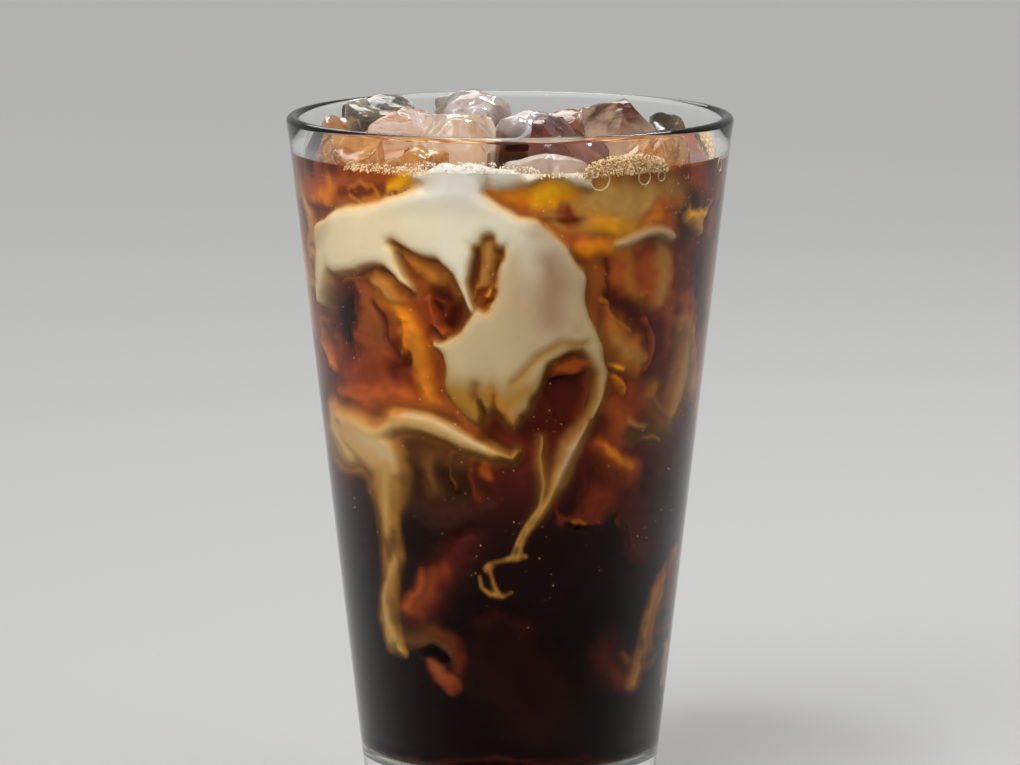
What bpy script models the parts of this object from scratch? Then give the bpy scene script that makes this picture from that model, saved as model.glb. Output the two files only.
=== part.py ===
"""A glass of iced cold brew coffee: a tall conical glass, the coffee in it and a heap of ice lumps.

Units are metres and +Z is up. The glass stands on the plane z = 0 on its axis. The front is -Y.
"""
import bpy
import bmesh
from math import cos, pi, radians, sin
from mathutils import Matrix, Vector

MM = 0.001

# Glass, a truncated cone with a thick base
HEIGHT = 144.0 * MM
BASE_RADIUS = 28.6 * MM
RIM_RADIUS = 45.0 * MM
WALL_AT_RIM = 2.5 * MM
WALL_AT_FLOOR = 3.0 * MM
FLOOR_HEIGHT = 13.0 * MM
FLOOR_CORNER_RADIUS = 6.5 * MM
FLOOR_DIP = 0.8 * MM
FLOOR_RING_SHARE = 0.45
FLOOR_RING_DIP_SHARE = 0.6
HEEL_RADIUS = 2.2 * MM
MID_HEIGHT = 72.0 * MM
ROUND_STEPS = 72
CORNER_STEPS = 6
HEEL_STEPS = 4
RIM_STEPS = 8

# Coffee
LEVEL = 136.0 * MM
CLEARANCE = 0.3 * MM
SURFACE_EDGE_RISE = 0.9 * MM
SURFACE_EDGE_WIDTH = 2.2 * MM
SURFACE_FLAT_SHARE = 0.6
SURFACE_BEND_WIDTH_SHARE = 0.4
SURFACE_BEND_RISE_SHARE = 0.3

# Ice lumps: name, centre (x, y, z), size (x, y, z), turn about z, tilt about x, tilt about y,
# roundness from 0, a box, to 1, an egg, and the flat chips as (direction, share of the half size).
# Millimetres and degrees.
ICE_GRID = 3
EGG_SCALE = 1.16
BOX_SOFTENING = 0.25
CHIP_REACH = 0.35
SHORTEST_ICE_EDGE = 0.25 * MM
ICE_LUMPS = (
    ("ice_back_left", (-26.0, 16.8, 137.0), (16.7, 13.7, 18.5), 28, 4, -4, 0.35,
     (((0.1, -0.2, 1.0), 0.88), ((0.9, -0.6, 0.4), 0.92))),
    ("ice_left_streaked", (-20.9, 0.2, 137.4), (18.2, 13.2, 16.5), 8, -6, 4, 0.30,
     (((0.5, -0.5, 0.9), 0.78), ((-0.5, 0.1, 0.8), 0.86))),
    ("ice_left_small", (-35.5, 2.9, 138.0), (6.8, 10.5, 11.5), 8, 3, 5, 0.45,
     (((0.4, -0.4, 0.8), 0.85),)),
    ("ice_centre_large", (-6.8, 14.5, 137.2), (15.4, 14.9, 19.0), -8, 5, 3, 0.80,
     (((0.9, -0.5, 0.3), 0.84),)),
    ("ice_centre_back", (-6.9, 31.6, 138.0), (17.5, 13.5, 15.5), 14, -6, -4, 0.35,
     (((0.7, -0.2, 0.8), 0.76), ((-0.7, -0.4, 0.6), 0.84))),
    ("ice_front_cream", (-10.7, -15.4, 137.6), (17.5, 15.5, 17.0), -8, 4, -2, 0.45,
     (((-0.75, -0.3, 0.7), 0.74), ((0.8, -0.3, 0.65), 0.82), ((0.1, -1.0, 0.5), 0.88))),
    ("ice_centre_milky", (3.8, -2.0, 136.4), (15.5, 13.5, 16.0), 18, -4, 4, 0.70,
     (((0.3, -0.6, 0.8), 0.88),)),
    ("ice_front_wedge", (11.4, -19.7, 137.2), (15.5, 13.5, 17.0), -14, 4, 6, 0.12,
     (((0.62, -0.15, 0.80), 0.50), ((0.3, 0.9, 0.5), 0.84))),
    ("ice_front_dome", (6.8, -33.6, 132.4), (19.5, 9.0, 14.5), 12, 0, 0, 0.85,
     (((0.0, 0.0, -1.0), 0.80),)),
    ("ice_back_flat", (10.5, 13.7, 136.0), (13.6, 13.1, 16.5), -10, 6, 6, 0.25,
     (((-0.35, -0.1, 1.0), 0.78), ((0.8, -0.5, 0.5), 0.86))),
    ("ice_right_large", (23.5, -0.1, 137.5), (18.8, 16.8, 18.5), 20, -3, 3, 0.30,
     (((0.72, -0.1, 0.70), 0.62), ((-0.8, -0.4, 0.55), 0.80), ((0.1, -0.9, 0.6), 0.84))),
    ("ice_right_small", (32.1, 14.7, 136.5), (7.1, 9.6, 13.0), 20, 4, -4, 0.50,
     (((-0.4, -0.5, 0.8), 0.84),)),
    ("ice_left_wall", (-30.5, -15.2, 134.4), (14.0, 10.5, 14.5), -60, 3, -4, 0.45,
     (((0.5, -0.3, 0.9), 0.86),)),
    ("ice_left_front", (-18.9, -28.7, 134.0), (14.0, 10.0, 14.0), -36, -4, 3, 0.45,
     (((-0.5, -0.3, 0.9), 0.84),)),
    ("ice_right_wall", (28.6, -17.6, 134.4), (15.0, 11.5, 15.5), 62, -3, 4, 0.50,
     (((-0.4, 0.4, 0.9), 0.84),)),
    ("ice_back_right", (11.3, 29.9, 133.8), (13.5, 12.5, 13.5), 30, 5, 6, 0.50,
     (((0.5, -0.5, 0.8), 0.84),)),
)


def clear_scene():
    for thing in list(bpy.data.objects):
        bpy.data.objects.remove(thing, do_unlink=True)


def new_collection(name):
    made = bpy.data.collections.new(name)
    bpy.context.scene.collection.children.link(made)
    return made


def make_material(name, colour, roughness, alpha=1.0):
    made = bpy.data.materials.new(name)
    made.use_nodes = True
    shader = made.node_tree.nodes["Principled BSDF"]
    shader.inputs["Base Color"].default_value = (*colour, 1.0)
    shader.inputs["Roughness"].default_value = roughness
    shader.inputs["Metallic"].default_value = 0.0
    shader.inputs["Alpha"].default_value = alpha
    return made


def add_object(name, mesh, collection, material):
    made = bpy.data.objects.new(name, mesh)
    made.data.materials.append(material)
    collection.objects.link(made)
    return made


def outer_radius(z):
    return BASE_RADIUS + (RIM_RADIUS - BASE_RADIUS) * z / HEIGHT


def inner_radius(z):
    share = (z - FLOOR_HEIGHT) / (HEIGHT - FLOOR_HEIGHT)
    return outer_radius(z) - (WALL_AT_FLOOR + (WALL_AT_RIM - WALL_AT_FLOOR) * share)


def arc(centre_r, centre_z, radius, start_deg, end_deg, pieces):
    """Points of an arc in the profile plane, from the first angle to the last."""
    points = []
    for step in range(pieces + 1):
        angle = radians(start_deg + (end_deg - start_deg) * step / pieces)
        points.append((centre_r + radius * cos(angle), centre_z + radius * sin(angle)))
    return points


def floor_corner(inset):
    """The rounded corner between the inner wall and the floor, from the wall down to the floor."""
    radius = FLOOR_CORNER_RADIUS - inset
    centre_z = FLOOR_HEIGHT + FLOOR_CORNER_RADIUS
    centre_r = inner_radius(centre_z) - FLOOR_CORNER_RADIUS
    return arc(centre_r, centre_z, radius, 0, -90, CORNER_STEPS)


def turned(name, profile, collection, material):
    """Turn a profile of (radius, height) points, outer side first from top to bottom, about Z."""
    mesh = bpy.data.meshes.new(name)
    shape = bmesh.new()
    corners = [shape.verts.new((r, 0.0, z)) for r, z in profile]
    for first, second in zip(corners, corners[1:]):
        shape.edges.new((first, second))
    shape.to_mesh(mesh)
    shape.free()
    made = add_object(name, mesh, collection, material)
    screw = made.modifiers.new("turn", "SCREW")
    screw.axis = "Z"
    screw.angle = 2 * pi
    screw.steps = ROUND_STEPS
    screw.render_steps = ROUND_STEPS
    screw.use_merge_vertices = True
    screw.merge_threshold = 0.00001
    screw.use_smooth_shade = True
    return made


def make_glass(collection, material):
    """The glass: from the middle of its floor out, up, over the rim, down and in underneath."""
    rim = WALL_AT_RIM / 2
    profile = [(0.0, FLOOR_HEIGHT - FLOOR_DIP)]
    profile.append((BASE_RADIUS * FLOOR_RING_SHARE, FLOOR_HEIGHT - FLOOR_DIP * FLOOR_RING_DIP_SHARE))
    profile += list(reversed(floor_corner(0.0)))
    profile.append((inner_radius(MID_HEIGHT), MID_HEIGHT))
    profile.append((inner_radius(LEVEL), LEVEL))
    profile += arc(RIM_RADIUS - rim, HEIGHT - rim, rim, 180, 0, RIM_STEPS)
    profile.append((outer_radius(MID_HEIGHT), MID_HEIGHT))
    heel_centre = outer_radius(HEEL_RADIUS) - HEEL_RADIUS
    profile += arc(heel_centre, HEEL_RADIUS, HEEL_RADIUS, 0, -90, HEEL_STEPS)
    profile.append((0.0, 0.0))
    return turned("glass", profile, collection, material)


def make_coffee(collection, material):
    top = LEVEL + SURFACE_EDGE_RISE
    wall = inner_radius(LEVEL)
    profile = [(0.0, LEVEL), (wall * SURFACE_FLAT_SHARE, LEVEL)]
    profile.append((wall - SURFACE_EDGE_WIDTH, LEVEL))
    profile.append((wall - SURFACE_EDGE_WIDTH * SURFACE_BEND_WIDTH_SHARE,
                    LEVEL + SURFACE_EDGE_RISE * SURFACE_BEND_RISE_SHARE))
    profile.append((inner_radius(top) - CLEARANCE, top))
    profile.append((inner_radius(MID_HEIGHT) - CLEARANCE, MID_HEIGHT))
    profile += floor_corner(CLEARANCE)
    profile.append((BASE_RADIUS * FLOOR_RING_SHARE,
                    FLOOR_HEIGHT - FLOOR_DIP * FLOOR_RING_DIP_SHARE + CLEARANCE))
    profile.append((0.0, FLOOR_HEIGHT - FLOOR_DIP + CLEARANCE))
    return turned("coffee", profile, collection, material)


def cut_chip(shape, half, way, share):
    """Cut a flat chip off a lump and close the cut."""
    normal = Vector(way).normalized()
    reach = sum(abs(part) * length for part, length in zip(normal, half))
    middle = min(half) / reach
    place = normal * reach * (middle + (1.0 - middle) * CHIP_REACH) * share
    pieces = shape.verts[:] + shape.edges[:] + shape.faces[:]
    cut = bmesh.ops.bisect_plane(shape, geom=pieces, dist=1e-7, plane_co=place,
                                 plane_no=normal, clear_outer=True)
    rim = [piece for piece in cut["geom_cut"] if isinstance(piece, bmesh.types.BMEdge)]
    if rim:
        bmesh.ops.contextual_create(shape, geom=rim)


def ice_shape(entry, grow):
    """A hewn block of ice: a box rounded towards an egg, with flat chips cut off, and turned."""
    name, centre, size, turn, tilt_x, tilt_y, roundness, chips = entry
    half = [side * MM / 2 for side in size]
    shape = bmesh.new()
    bmesh.ops.create_cube(shape, size=2.0)
    bmesh.ops.subdivide_edges(shape, edges=shape.edges[:], cuts=ICE_GRID, use_grid_fill=True)
    for point in shape.verts:
        egg = point.co.normalized() * EGG_SCALE
        blended = point.co.lerp(egg, BOX_SOFTENING + (1.0 - BOX_SOFTENING) * roundness)
        point.co = Vector([part * length for part, length in zip(blended, half)])
    for way, share in chips:
        cut_chip(shape, half, way, share)
    bmesh.ops.remove_doubles(shape, verts=shape.verts[:], dist=SHORTEST_ICE_EDGE)
    bmesh.ops.recalc_face_normals(shape, faces=shape.faces[:])
    if grow:
        for point in shape.verts:
            point.co += point.normal * grow
    turning = (Matrix.Rotation(radians(turn), 4, "Z") @ Matrix.Rotation(radians(tilt_x), 4, "X")
               @ Matrix.Rotation(radians(tilt_y), 4, "Y"))
    moving = Matrix.Translation(Vector(centre) * MM)
    bmesh.ops.transform(shape, matrix=moving @ turning, verts=shape.verts[:])
    return shape


def make_ice(entry, collection, material):
    mesh = bpy.data.meshes.new(entry[0])
    shape = ice_shape(entry, 0.0)
    for face in shape.faces:
        face.smooth = True
    shape.to_mesh(mesh)
    shape.free()
    return add_object(entry[0], mesh, collection, material)


def make_ice_cutter(entry, collection, material):
    """The pocket that a lump takes out of the coffee, a little larger than the lump."""
    mesh = bpy.data.meshes.new("pocket_" + entry[0])
    shape = ice_shape(entry, CLEARANCE)
    shape.to_mesh(mesh)
    shape.free()
    cutter = add_object("pocket_" + entry[0], mesh, collection, material)
    cutter.hide_render = True
    cutter.display_type = "WIRE"
    return cutter


def cut_pockets(coffee, cutters):
    cut = coffee.modifiers.new("ice_pockets", "BOOLEAN")
    cut.operation = "DIFFERENCE"
    cut.operand_type = "COLLECTION"
    cut.collection = cutters
    cut.solver = "EXACT"


def main():
    clear_scene()
    drink = new_collection("cold_brew_coffee")
    cutters = new_collection("cutters")
    glass_material = make_material("clear_glass", (0.90, 0.95, 0.93), 0.03, 0.35)
    coffee_material = make_material("coffee", (0.045, 0.012, 0.008), 0.08)
    ice_material = make_material("ice", (0.80, 0.74, 0.66), 0.12)

    make_glass(drink, glass_material)
    coffee = make_coffee(drink, coffee_material)
    for entry in ICE_LUMPS:
        make_ice(entry, drink, ice_material)
        make_ice_cutter(entry, cutters, ice_material)
    cut_pockets(coffee, cutters)


main()
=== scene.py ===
"""Looks of the iced cold brew coffee: clear glass, coffee with cream clouds, ice, froth and bubbles.

Lengths in the tables are millimetres and angles are degrees. Angle 0 is the front of the glass (-Y) and
angles grow towards +X.
"""

import itertools
import math

import bmesh
import bpy
import numpy as np
from mathutils import Matrix, Vector


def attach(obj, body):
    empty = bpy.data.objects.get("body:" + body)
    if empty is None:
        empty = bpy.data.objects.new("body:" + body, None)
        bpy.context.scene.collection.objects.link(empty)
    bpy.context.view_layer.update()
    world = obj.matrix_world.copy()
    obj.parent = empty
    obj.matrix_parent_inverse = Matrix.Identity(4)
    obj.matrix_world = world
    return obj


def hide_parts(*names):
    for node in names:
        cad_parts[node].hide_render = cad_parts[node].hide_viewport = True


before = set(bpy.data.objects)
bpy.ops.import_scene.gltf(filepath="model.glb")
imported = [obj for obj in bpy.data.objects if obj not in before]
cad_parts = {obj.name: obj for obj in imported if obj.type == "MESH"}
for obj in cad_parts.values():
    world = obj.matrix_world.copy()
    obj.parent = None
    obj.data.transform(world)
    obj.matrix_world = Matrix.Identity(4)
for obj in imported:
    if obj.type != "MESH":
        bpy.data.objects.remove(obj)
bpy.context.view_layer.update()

MM = 0.001

# The glass, as the solid part has it
HEIGHT = 144.0
BASE_RADIUS = 28.6
RIM_RADIUS = 45.0
WALL_AT_RIM = 2.5
WALL_AT_FLOOR = 3.0
FLOOR_HEIGHT = 13.0
CORNER_RADIUS = 6.5
FLOOR_DIP = 0.8
HEEL_RADIUS = 2.2

# The drink: its level, how far the clear coffee reaches into the wall, and the clouds' bodies and mesh
LEVEL = 136.0
INTO_WALL = 0.3
CLOUD_TOP = 134.6
CLOUD_SPLIT = 62.0
SPLIT_OVERLAP = 0.5
CLOUD_GAP = 0.15
ROW = 0.385
TURN_STEPS = 256
CLOUD_STEPS = 480
FRONT_FINER = 0.5
WELD = 1e-6
TURN_WELD = 1e-5

# How the strokes are laid: the back's are the front's, narrower and lower
BACK_SHRINK = 0.88
BACK_DROP = 2.5
LOWEST_STROKE = 20
SIDE_SLOPE = 0.36
JOIN_SMOOTH = 0.45
JOIN_REACH = 6
TONE_SMOOTH = 1.6
HOLE_SMOOTH = 0.5
STROKE_SOFT = 1.3
CREAM_SOFT = 1.2

# The cream's edge: its tint and painted shade, the halo outside it, and how the cream bulges towards the
# wall
# The edge tint is part cream thinning over the coffee, part painted shade that rounds each lobe
THIN_EDGE_AND_SHADE_TINT = np.array((0.86, 0.70, 0.44))
THIN_AND_SHADED_WIDTH = 1.5
HALO_WIDTH = 2.2
HALO_SHARE = 0.45
BULGE = 1.1
BULGE_WIDTH = 2.5
TOP_PRESS = 0.3
TINY = 1e-9

# Ice: size of its mesh, and the heights above the level between which a stained foot fades
ICE_MESH = 0.45
FOOT_FULL = 2
FOOT_END = 7.5

# Bubbles: how many are built at a time, and the mesh of a large bubble's outline
BATCH = 24
RING_SIDES = 8
RING_STEPS = 40

# How light bends in each, and the colour of what passes through to the shadows
GLASS_IOR = 1.5
COFFEE_IOR = 1.33
ICE_IOR = 1.31
GLASS_SHADOW = (0.95, 0.97, 0.96, 1)
ICE_SHADOW = (0.75, 0.7, 0.62, 1)
FROTH_SHADOW = (0.85, 0.8, 0.7, 1)
COFFEE_SOAK = (0.93, 0.62, 0.25, 1)
SOAK_DENSITY = 60.0

# Floor, light and camera, in metres
FLOOR_SIZE = 3.0
FLOOR_GREY = (0.50, 0.50, 0.49, 1)
STUDIO_GREY = (0.89, 0.88, 0.87, 1)
STUDIO_STRENGTH = 0.40
LAMP_AIM = (0, 0, 0.09)
LAMPS = (("key_left", (-0.5, -0.7, 0.8), 0.35, 1.2), ("sparkle", (-0.2, -0.25, 0.75), 0.12, 1.1),
         ("sparkle_back", (0.25, 0.45, 0.7), 0.14, 1.5), ("fill_right", (0.8, -0.5, 0.55), 0.4, 1.0))
SUNS = (("soft_sun_front", (44, 0, -28), 1.2), ("soft_sun_back", (-50, 0, 12), 0.8))
SUN_SPREAD = 35
CAMERA_PLACE = (0, -1.2, 0.274)
CAMERA_DOWN = 8.75
CAMERA_LENS = 211.7

# Colours of the drink, as they look in even light, 0 to 255; some are painted light and painted shade
# Painted light: the bright ambers, oranges and yellows. Painted shade: column_shade, and column in part
SHADES = {
    "near_black": (15, 4, 4), "black_red": (30, 8, 7), "dark_brown": (52, 26, 12), "dark_red": (80, 25, 15),
    "red_brown": (112, 44, 22), "rust_red": (134, 52, 28), "chestnut": (140, 62, 27),
    "brown": (150, 84, 34), "curtain": (92, 56, 28), "curtain_light": (112, 72, 36),
    "olive": (92, 60, 30), "rust": (176, 84, 32),
    "honey": (190, 118, 40), "orange": (224, 134, 24), "amber": (228, 158, 34), "yellow": (248, 178, 18),
    "dark_yellow": (190, 140, 30), "ochre": (184, 132, 66), "pale_amber": (206, 160, 88),
    "dark_gold": (158, 112, 48), "gold_low": (168, 120, 44), "gold": (190, 150, 84), "tan": (200, 158, 100),
    "low_cream": (198, 174, 134), "column": (192, 164, 134), "column_shade": (166, 132, 104),
    "cream_warm": (234, 214, 178), "cream": (234, 224, 202), "cream_cool": (228, 219, 212),
    "shade_light": (178, 144, 112), "shade_rust": (140, 76, 44),
}

# Strokes of colour on the drink's wall: what each is, its shade, the softness of its edge, its depth
# behind the wall, and its path as (angle, height, half width).

# Patches of coffee behind the cream, with painted light and painted shade
# Glows and sparks are painted light through sunk ice, its bright edges painted highlights, its creases
# painted shade
PATCHES = (
    ("left wall", "ochre", 2.0, 1.2, ((-77.9, 129.9, 1.2), (-76.7, 125, 1.4), (-78.2, 117.8, 1.2),
     (-80.8, 109.5, 1))),
    ("left brown", "chestnut", 5.0, 3.0, ((-54.6, 111.7, 5.9), (-51.9, 102.8, 6.7), (-49.5, 92.8, 5.5))),
    ("left brown right part", "chestnut", 4.5, 3.0, ((-31.3, 111.1, 4.3), (-30, 102.1, 4.3),
     (-26.4, 94.2, 3.9))),
    ("left brown light", "brown", 5.0, 2.4, ((-47.3, 110.2, 2.7), (-44.8, 101.3, 2.4))),
    ("left dark patch", "dark_red", 4.0, 5.0, ((-62.9, 109, 2.4), (-64.6, 102.4, 2.4),
     (-59.8, 98.3, 1.8))),
    ("left dark heart", "near_black", 3.0, 6.0, ((-63.9, 107.9, 1.6), (-65.4, 101.9, 1.8))),
    ("left wall streak", "honey", 1.4, 2.0, ((-77.1, 104.1, 0.3), (-77.6, 100, 0.4),
     (-75.6, 96.1, 0.5), (-73.4, 94.7, 0.4))),
    ("left amber streak", "orange", 3.2, 2.0, ((-37.9, 110.8, 1.6), (-33.5, 106.6, 1.8),
     (-31.4, 101, 2), (-29.3, 95.1, 1.8), (-25.8, 90.2, 1.4))),
    ("left amber streak light", "honey", 2.4, 1.6, ((-32.5, 103.8, 0.6), (-31.3, 99.4, 0.8),
     (-30.1, 94.6, 0.6))),
    ("left gold spot", "honey", 2.0, 1.6, ((-42.5, 114.9, 1.6), (-38.4, 112.7, 1.4))),
    ("left gold spot light", "ochre", 1.6, 1.4, ((-41.1, 113.8, 0.6), (-37.1, 111.6, 0.8))),
    ("left sunk ice edge", "honey", 0.8, 1.6, ((-60, 112.7, 0.2), (-50.7, 114.4, 0.3),
     (-43.4, 114.2, 0.2))),
    ("left sunk ice side", "dark_red", 1.2, 3.5, ((-44.8, 110.3, 0.5), (-42.4, 106.1, 0.5),
     (-41.6, 101.5, 0.4))),
    ("left streak fork", "orange", 0.8, 1.6, ((-34.8, 107.3, 0.3), (-34.3, 102.9, 0.4),
     (-35.9, 99.2, 0.2))),
    ("left red whirl", "dark_red", 2.5, 4.0, ((-39.9, 100.2, 1), (-36.1, 97.5, 1.2), (-40.6, 95.3, 1))),
    ("left red edge", "red_brown", 3.0, 3.5, ((-50.4, 116, 2), (-42.2, 116.9, 1.6))),
    ("left glow", "brown", 4.0, 2.2, ((-65.3, 89.5, 1.6), (-50.3, 89.3, 1.8), (-35.7, 89.7, 1.8),
     (-21.9, 88.9, 1.6))),
    ("left glow light", "rust", 4.5, 1.8, ((-60.7, 89.7, 1), (-46.9, 90.4, 1), (-34.1, 90.8, 1))),
    ("left low rust", "rust", 2.5, 2.0, ((-17, 88.5, 1.6), (-12.4, 85.1, 1.6), (-6.2, 83.6, 1.4))),
    ("band base", "rust", 2.0, 2.5, ((-66.3, 129.7, 2.5), (-50.2, 131.2, 2.5), (-35.4, 132.9, 2.2),
     (-29, 133.8, 1.6))),
    ("band red", "red_brown", 1.8, 3.5, ((-52.5, 130.7, 1.2), (-44.3, 131.4, 1.4), (-39.1, 132.5, 1))),
    ("band whirl", "orange", 0.7, 2.5, ((-50.1, 131.6, 0.2), (-46.4, 132.7, 0.2), (-41.9, 132.8, 0.2),
     (-40.6, 131.6, 0.2), (-44.5, 130.4, 0.2), (-49.2, 130.3, 0.2))),
    ("band left light", "orange", 1.8, 2.0, ((-58.9, 131.4, 1), (-61.9, 128.6, 1.2))),
    ("band yellow", "yellow", 1.4, 1.3, ((-35.1, 132.3, 0.8), (-31.2, 133.1, 1.2), (-27.5, 133.7, 1.2))),
    ("right top", "ochre", 4.0, 2.0, ((13.5, 129.3, 4.7), (24.9, 129.4, 5.9), (37.6, 128.8, 5.5),
     (47.8, 129.2, 3.9))),
    ("right top pale", "pale_amber", 3.0, 1.6, ((23.5, 132.4, 2.4), (30.8, 131.1, 3.1),
     (40.3, 129.5, 2.7), (31.9, 127.1, 2))),
    ("right top orange", "orange", 1.8, 1.8, ((-6.4, 133, 1), (0, 132, 1.8), (9.3, 131.8, 2),
     (17.2, 132.8, 1.8))),
    ("right top orange edge", "rust", 2.0, 2.0, ((-5.8, 132.4, 0.6), (0.5, 130.2, 0.6),
     (5.9, 129.6, 0.8), (11.4, 126.2, 1), (17.2, 122.4, 1))),
    ("right top yellow", "yellow", 2.0, 1.4, ((6.4, 131.4, 1), (12.3, 132.3, 1.4), (16.6, 133.8, 1.2))),
    ("right top brown spot", "chestnut", 2.0, 3.0, ((13, 129.3, 0.8), (15.8, 128.5, 1.4),
     (17.5, 127.2, 1.2))),
    ("right top brown spot heart", "rust_red", 1.2, 3.5, ((15.2, 129.3, 0.6), (16.6, 128.2, 0.6))),
    ("right top amber veil", "amber", 2.6, 1.5, ((24.5, 127, 1.6), (31.4, 125.9, 2.2), (36.1, 124.5, 2))),
    ("right top orange low", "rust", 3.0, 2.0, ((18, 124, 1.6), (24.1, 121, 2.4), (33.7, 119.8, 2.4))),
    ("right top orange bright", "orange", 2.2, 1.6, ((20.7, 122.3, 1.2), (27.4, 121.1, 1.6),
     (35.1, 121.9, 1.4))),
    ("right orange far", "rust", 3.0, 2.0, ((43.4, 125.5, 2), (48.2, 127.2, 2), (50.5, 123.6, 1.6))),
    ("right orange far light", "orange", 2.0, 1.8, ((41.6, 125, 0.8), (45.9, 126.7, 0.8))),
    ("right ice block", "rust", 4.0, 2.2, ((33.3, 114, 4.7), (45.1, 115.3, 4.7), (51.7, 109.9, 3.5))),
    ("right ice light left", "honey", 2.4, 1.6, ((34.8, 118.5, 1.2), (38.2, 113.7, 1.2),
     (44.3, 108.8, 1))),
    ("right ice light right", "ochre", 2.2, 1.6, ((49.8, 119, 1.4), (51.7, 113.9, 1.4),
     (50, 109.6, 1.2))),
    ("right ice heart", "rust", 2.2, 2.6, ((43.5, 118.1, 1.2), (45.3, 112.3, 1.2))),
    ("right ice left side", "brown", 2.6, 2.4, ((26.7, 118.9, 1.2), (28.2, 113.3, 1.6),
     (30.5, 109.1, 1.2))),
    ("right face brown", "brown", 3.5, 2.2, ((33.5, 106.6, 3.1), (38.5, 101.7, 3.9), (41.5, 97.4, 3.9))),
    ("right face light", "honey", 4.0, 1.8, ((32.9, 105.8, 1.8), (39.3, 101.4, 2.4), (43.1, 97.1, 1.8))),
    ("right red band", "dark_red", 3.0, 4.0, ((31.7, 111.1, 1.4), (40.5, 108.2, 2), (48.5, 104, 2.4),
     (52.3, 99.3, 2), (49.5, 94.8, 1.2))),
    ("right brown low", "chestnut", 3.5, 3.0, ((34.4, 93.8, 2.4), (40.2, 90.4, 3.1), (47.9, 89.9, 3.1),
     (37.2, 84.5, 2.7))),
    ("right sunk ice edge", "honey", 0.8, 1.6, ((28.4, 111.2, 0.2), (32.8, 107.4, 0.3),
     (41.1, 104.5, 0.2))),
    ("right sunk ice line", "dark_red", 0.9, 3.0, ((28.9, 118.8, 0.3), (30, 114.2, 0.3),
     (33.8, 109.8, 0.3))),
    ("right sunk ice face", "ochre", 1.4, 1.6, ((34, 102.9, 0.8), (39.5, 100.2, 1), (44.6, 97.8, 0.6))),
    ("right strand", "rust", 0.9, 2.0, ((45.5, 106.3, 0.3), (50.1, 100.9, 0.3), (48.4, 95.9, 0.3))),
    ("right spot", "yellow", 0.9, 1.2, ((34.3, 97.4, 0.5), (36.9, 97.1, 0.5))),
    ("right spots", "orange", 1.2, 1.4, ((33.6, 94.9, 0.6), (36.9, 91.8, 0.6))),
    ("right rust low", "rust", 2.5, 2.6, ((32.8, 89.2, 1.4), (39.3, 86.4, 1.6), (41.4, 83, 1.2))),
    ("right olive patch", "olive", 2.5, 2.2, ((44.7, 83.6, 2.2), (54.5, 82.1, 2.4), (66.6, 82.7, 1.6))),
    ("right olive flecks", "ochre", 1.0, 1.8, ((42.6, 85.8, 0.3), (49.2, 83.7, 0.3))),
    ("right olive flecks two", "ochre", 1.0, 1.8, ((50.6, 81.6, 0.2), (59.1, 81.7, 0.2))),
    ("right wall dark", "dark_brown", 3.0, 4.0, ((60.6, 129.3, 1.4), (68.5, 120.6, 2),
     (75.5, 109.9, 2), (84.1, 103.1, 1.4))),
    ("right wall brown", "red_brown", 2.5, 3.0, ((69.9, 134.6, 1.2), (72.6, 125.3, 1.2),
     (63.9, 115, 1.2), (64.8, 108.8, 1.2))),
    ("right yellow triangle", "yellow", 1.0, 1.2, ((60.4, 126.1, 0.8), (65.7, 126.1, 1.2),
     (69.8, 126.2, 0.8))),
    ("right yellow tip", "amber", 1.0, 1.2, ((66.5, 125.6, 1), (68.9, 123, 0.5))),
    ("right wall orange", "rust", 2.4, 2.2, ((66.9, 108.7, 1.2), (73.3, 100, 1.4), (83.3, 88.4, 1.2))),
    ("right wall ochre", "ochre", 2.0, 1.4, ((65.2, 104.3, 1.2), (73.5, 97.9, 1), (79.9, 90.2, 0.8))),
    ("ring inside", "dark_red", 2.0, 5.0, ((18.8, 95.5, 4.7), (21.2, 89.3, 4.3), (18.9, 85.4, 3.5))),
    ("ring inside top", "rust", 1.6, 2.5, ((15, 97.6, 1.4), (20.6, 97.9, 1.6), (25.7, 98.5, 1))),
    ("ring inside glow", "rust", 1.4, 2.2, ((17.4, 99.2, 0.5), (21.7, 99.2, 0.5))),
    ("ring inside line", "near_black", 0.7, 6.0, ((14.2, 95.6, 0.3), (19.8, 95.9, 0.3),
     (25.2, 96.7, 0.2))),
    ("ring inside right", "red_brown", 1.8, 3.5, ((25.1, 96.9, 0.6), (25, 91.2, 1), (22.6, 87.7, 1))),
    ("below the column", "dark_red", 4.0, 4.0, ((-6.2, 83.6, 2.7), (3.1, 82.4, 3.5), (11.9, 83.5, 2.7))),
    ("below the column glow", "red_brown", 3.0, 3.0, ((-3.1, 84, 0.8), (3.7, 82, 0.8), (12, 80.3, 0.8))),
    ("lower red ice", "red_brown", 4.0, 3.2, ((29.6, 79.8, 3.9), (34.8, 74.5, 4.7), (29.4, 68.6, 2.7))),
    ("lower red ice heart", "dark_red", 3.0, 4.0, ((27, 76.9, 2), (30.5, 72.3, 2.4))),
    ("lower red ice face", "red_brown", 3.0, 2.4, ((30.8, 69.6, 2), (37.1, 69.4, 1.6))),
    ("lower ice rim", "rust", 2.2, 1.6, ((30.1, 81.6, 1.2), (36.4, 79.7, 1.8), (43, 76.4, 1.6),
     (47.1, 71.6, 1.2))),
    ("lower ice rim light", "orange", 1.4, 1.4, ((32.3, 81.5, 0.4), (38, 79.4, 0.7), (43.5, 76.2, 0.5))),
    ("lower ice edge", "red_brown", 1.2, 1.8, ((16.1, 77.3, 0.2), (15, 72.3, 0.3), (17.3, 68.1, 0.3),
     (23.8, 65.6, 0.3), (32.1, 65.6, 0.2))),
    ("lower ice edge right", "red_brown", 1.2, 1.8, ((47.2, 71.2, 0.3), (46.1, 67.6, 0.4),
     (40.2, 65.5, 0.3))),
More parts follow.
